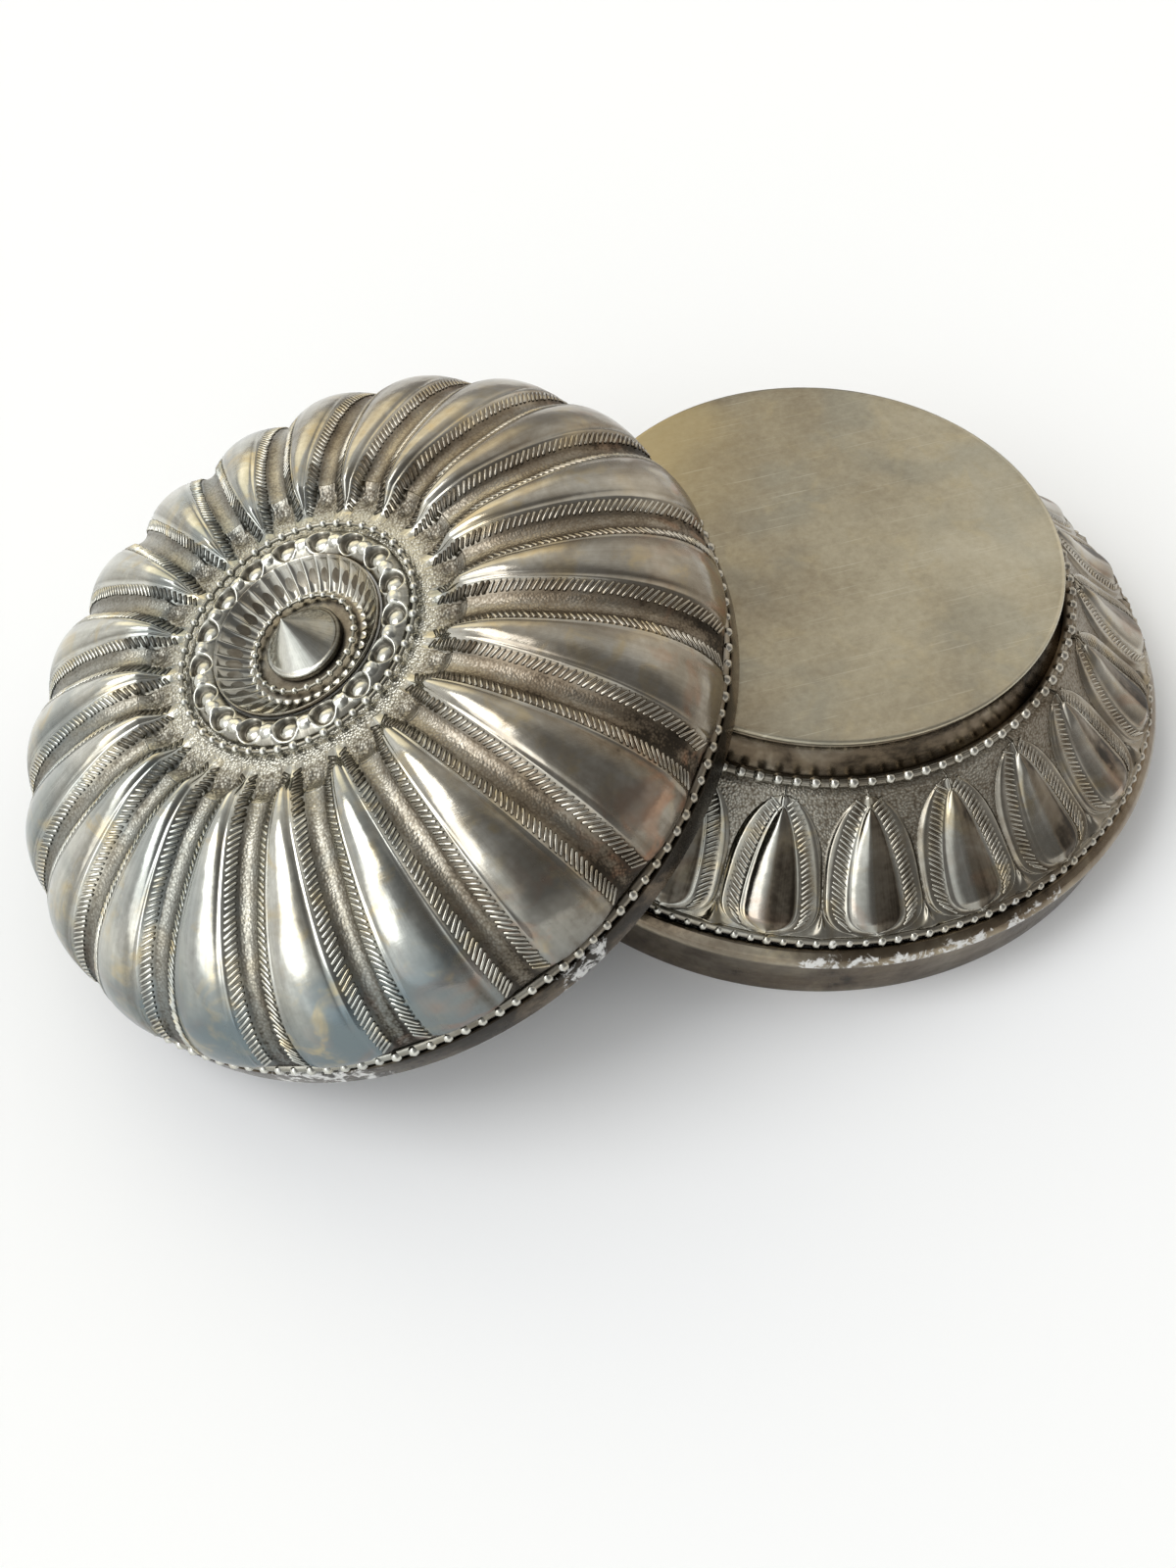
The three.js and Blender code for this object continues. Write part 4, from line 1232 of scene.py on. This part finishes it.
def flute_segment():
    columns = np.linspace(-1, 1, 13)
    flat = 0 * columns
    fall = np.linspace(0, 1, 16)[:, None]
    r = mix(CUP_R - 0.2, CUP_FOOT_R - 0.6, fall**1.1) + flat
    crest = np.exp(-(((1 - np.abs(columns)) / 0.16) ** 1.5))
    fade = ease(fall / 0.1) * ease((1 - fall) / 0.08)
    hollow = FLUTE_HOLLOW * (1 - columns**2) * fade
    z = mix(CUP_TOP, CUP_FLOOR, 1 - (1 - fall) ** 1.3) + FLUTE_CREST * crest * fade - hollow
    under = [(0, CUP_FLOOR - SHEET), (CUP_FOOT_R, CUP_FLOOR - SHEET), (CUP_BEND_R, CUP_BEND_Z)]
    under = np.array(under + [(CUP_R, CUP_TOP - SHEET), (CUP_R, CUP_TOP)])[:, :, None]
    base = np.array([(CUP_FOOT_R - 1.0, CUP_FLOOR), (0, CUP_FLOOR)])[:, :, None]
    all_r = np.vstack([under[:, 0] + flat, r, base[:, 0] + flat])
    all_z = np.vstack([under[:, 1] + flat, z, base[:, 1] + flat])
    fluted = 0.24 - 0.22 * crest * fade
    tarnish = (0 * under[:, 0] + 0.6 + flat, fluted, 0 * base[:, 0] + 0.6 + flat)
    tarnish = np.vstack(tarnish)
    angle = columns * math.pi / FLUTES + 0 * all_r
    return grid_mesh("medallion_flutes", spun(all_r, all_z, angle), {"tarnish": tarnish})


flutes = repeat(flute_segment(), FLUTES, CHASED, unevenness=0.1, lump_mm=5)
settle(flutes, "lid", ["medallion_cup"], "chased_silver", right_side_shading=CUP_SHADE_LEVEL)

# %% Cone
high = CONE_Z + CONE_STEP
cone = [(0, CONE_Z, 0.6), (CONE_R, CONE_Z, 0.6), (CONE_R, high - 0.3, 0.35)]
cone += [(CONE_R - 0.35, high, 0.15), (CONE_R - 0.75, high + 0.05, 0.5)]
slope = np.linspace(0, 1, 24)
cone += [
    ((CONE_R - 0.9) * (1 - k) ** 1.04 + 0.02, high + 0.1 + (CONE_H - 0.1) * k, 0.04)
    for k in slope
]
cone += [(0, high + CONE_H, 0.0)]
# The cone's right side is painted darker: painted shade.
turned("finial", cone, "lid", "finial_cone", "polished_silver", steps=96, painted_side_shade=0.5)

# %% [markdown]
# ## Floor and light
#
# The photograph's object stands on white with a soft shadow to its lower right. The floor is
# white and wide, and a weak, wide sun makes the shadow. Silver shows what is round it, so
# the light and dark sides of the room give the petals their shape. The room has a small
# bright window high on the left, a cool soft light in front on the left, two lighter areas
# behind, a warm wall on the right and a golden lamp low behind.

# %% Floor
FLOOR_HALF = 3.0
floor_mesh = bpy.data.meshes.new("floor")
corners = [(x * FLOOR_HALF, y * FLOOR_HALF, 0) for x, y in ((-1, -1), (1, -1), (1, 1), (-1, 1))]
floor_mesh.from_pydata(corners, [], [(0, 1, 2, 3)])
floor = new_piece("floor", floor_mesh)
floor_paint = bpy.data.materials.new("floor_paint")
floor_paint.use_nodes = True
floor_shader = floor_paint.node_tree.nodes["Principled BSDF"]
floor_shader.inputs["Base Color"].default_value = (0.935, 0.945, 0.955, 1)
floor_shader.inputs["Roughness"].default_value = 0.9
floor_shader.inputs["Specular IOR Level"].default_value = 0.15
floor_mesh.materials.append(floor_paint)

# %% Sun and sky
FRONT_TINT, BEHIND_TINT = (0.93, 1.0, 1.04), (1.0, 1.0, 0.97)
WARM_TINT, LAMP_TINT = (1.0, 0.91, 0.76), (1.0, 0.86, 0.52)

sun_data = bpy.data.lights.new("soft_sun", "SUN")
sun_data.energy = 1.0
sun_data.angle = math.radians(35)
sun = new_piece("soft_sun", sun_data)
sun.rotation_euler = direction(-105, 52).to_track_quat("Z", "Y").to_euler()

sky = bpy.data.worlds.new("sky")
bpy.context.scene.world = sky
sky.use_nodes = True
tree = sky.node_tree
background = tree.nodes["Background"]
looking = add(tree, "ShaderNodeTexCoord").outputs["Generated"]


def glow(towards, low, high, strength):
    """Light of the sky round one direction, fading out where the cosine falls to low."""
    pair = {0: looking, 1: Vector(towards).normalized()}
    nearness = add(tree, "ShaderNodeVectorMath", pair, operation="DOT_PRODUCT").outputs["Value"]
    return Flow(tree, nearness).ramp(low, high, 0.0, strength)


window = glow((-0.75, -0.30, 0.59), 0.93, 0.98, 2.2) + glow((-0.9, -0.3, 0.1), 0.2, 0.9, 0.35)
front = glow((-0.6, -0.7, 0.35), 0.78, 0.96, 0.55)
behind = glow((-0.5, 0.55, 0.67), 0.6, 0.97, 0.52) + glow((0.5, 0.5, 0.7), 0.72, 0.97, 0.42)
around = glow((0, 0, -1), -0.42, -0.15, 0.25) + 0.25
warm_wall = glow((0.8, 0.3, 0.3), 0.68, 0.97, 0.42)
lamp = glow((-0.22, 0.87, 0.44), 0.88, 0.97, 1.0)


def channel(k):
    """All the light of one colour: 0 is red, 1 green and 2 blue."""
    room = window + front * FRONT_TINT[k] + behind * BEHIND_TINT[k] + around
    return room + warm_wall * WARM_TINT[k] + lamp * LAMP_TINT[k]


light = add(tree, "ShaderNodeCombineColor", {k: channel(k) for k in range(3)})
put(tree, light.outputs[0], background.inputs["Color"])
bpy.context.scene.view_settings.view_transform = "Standard"
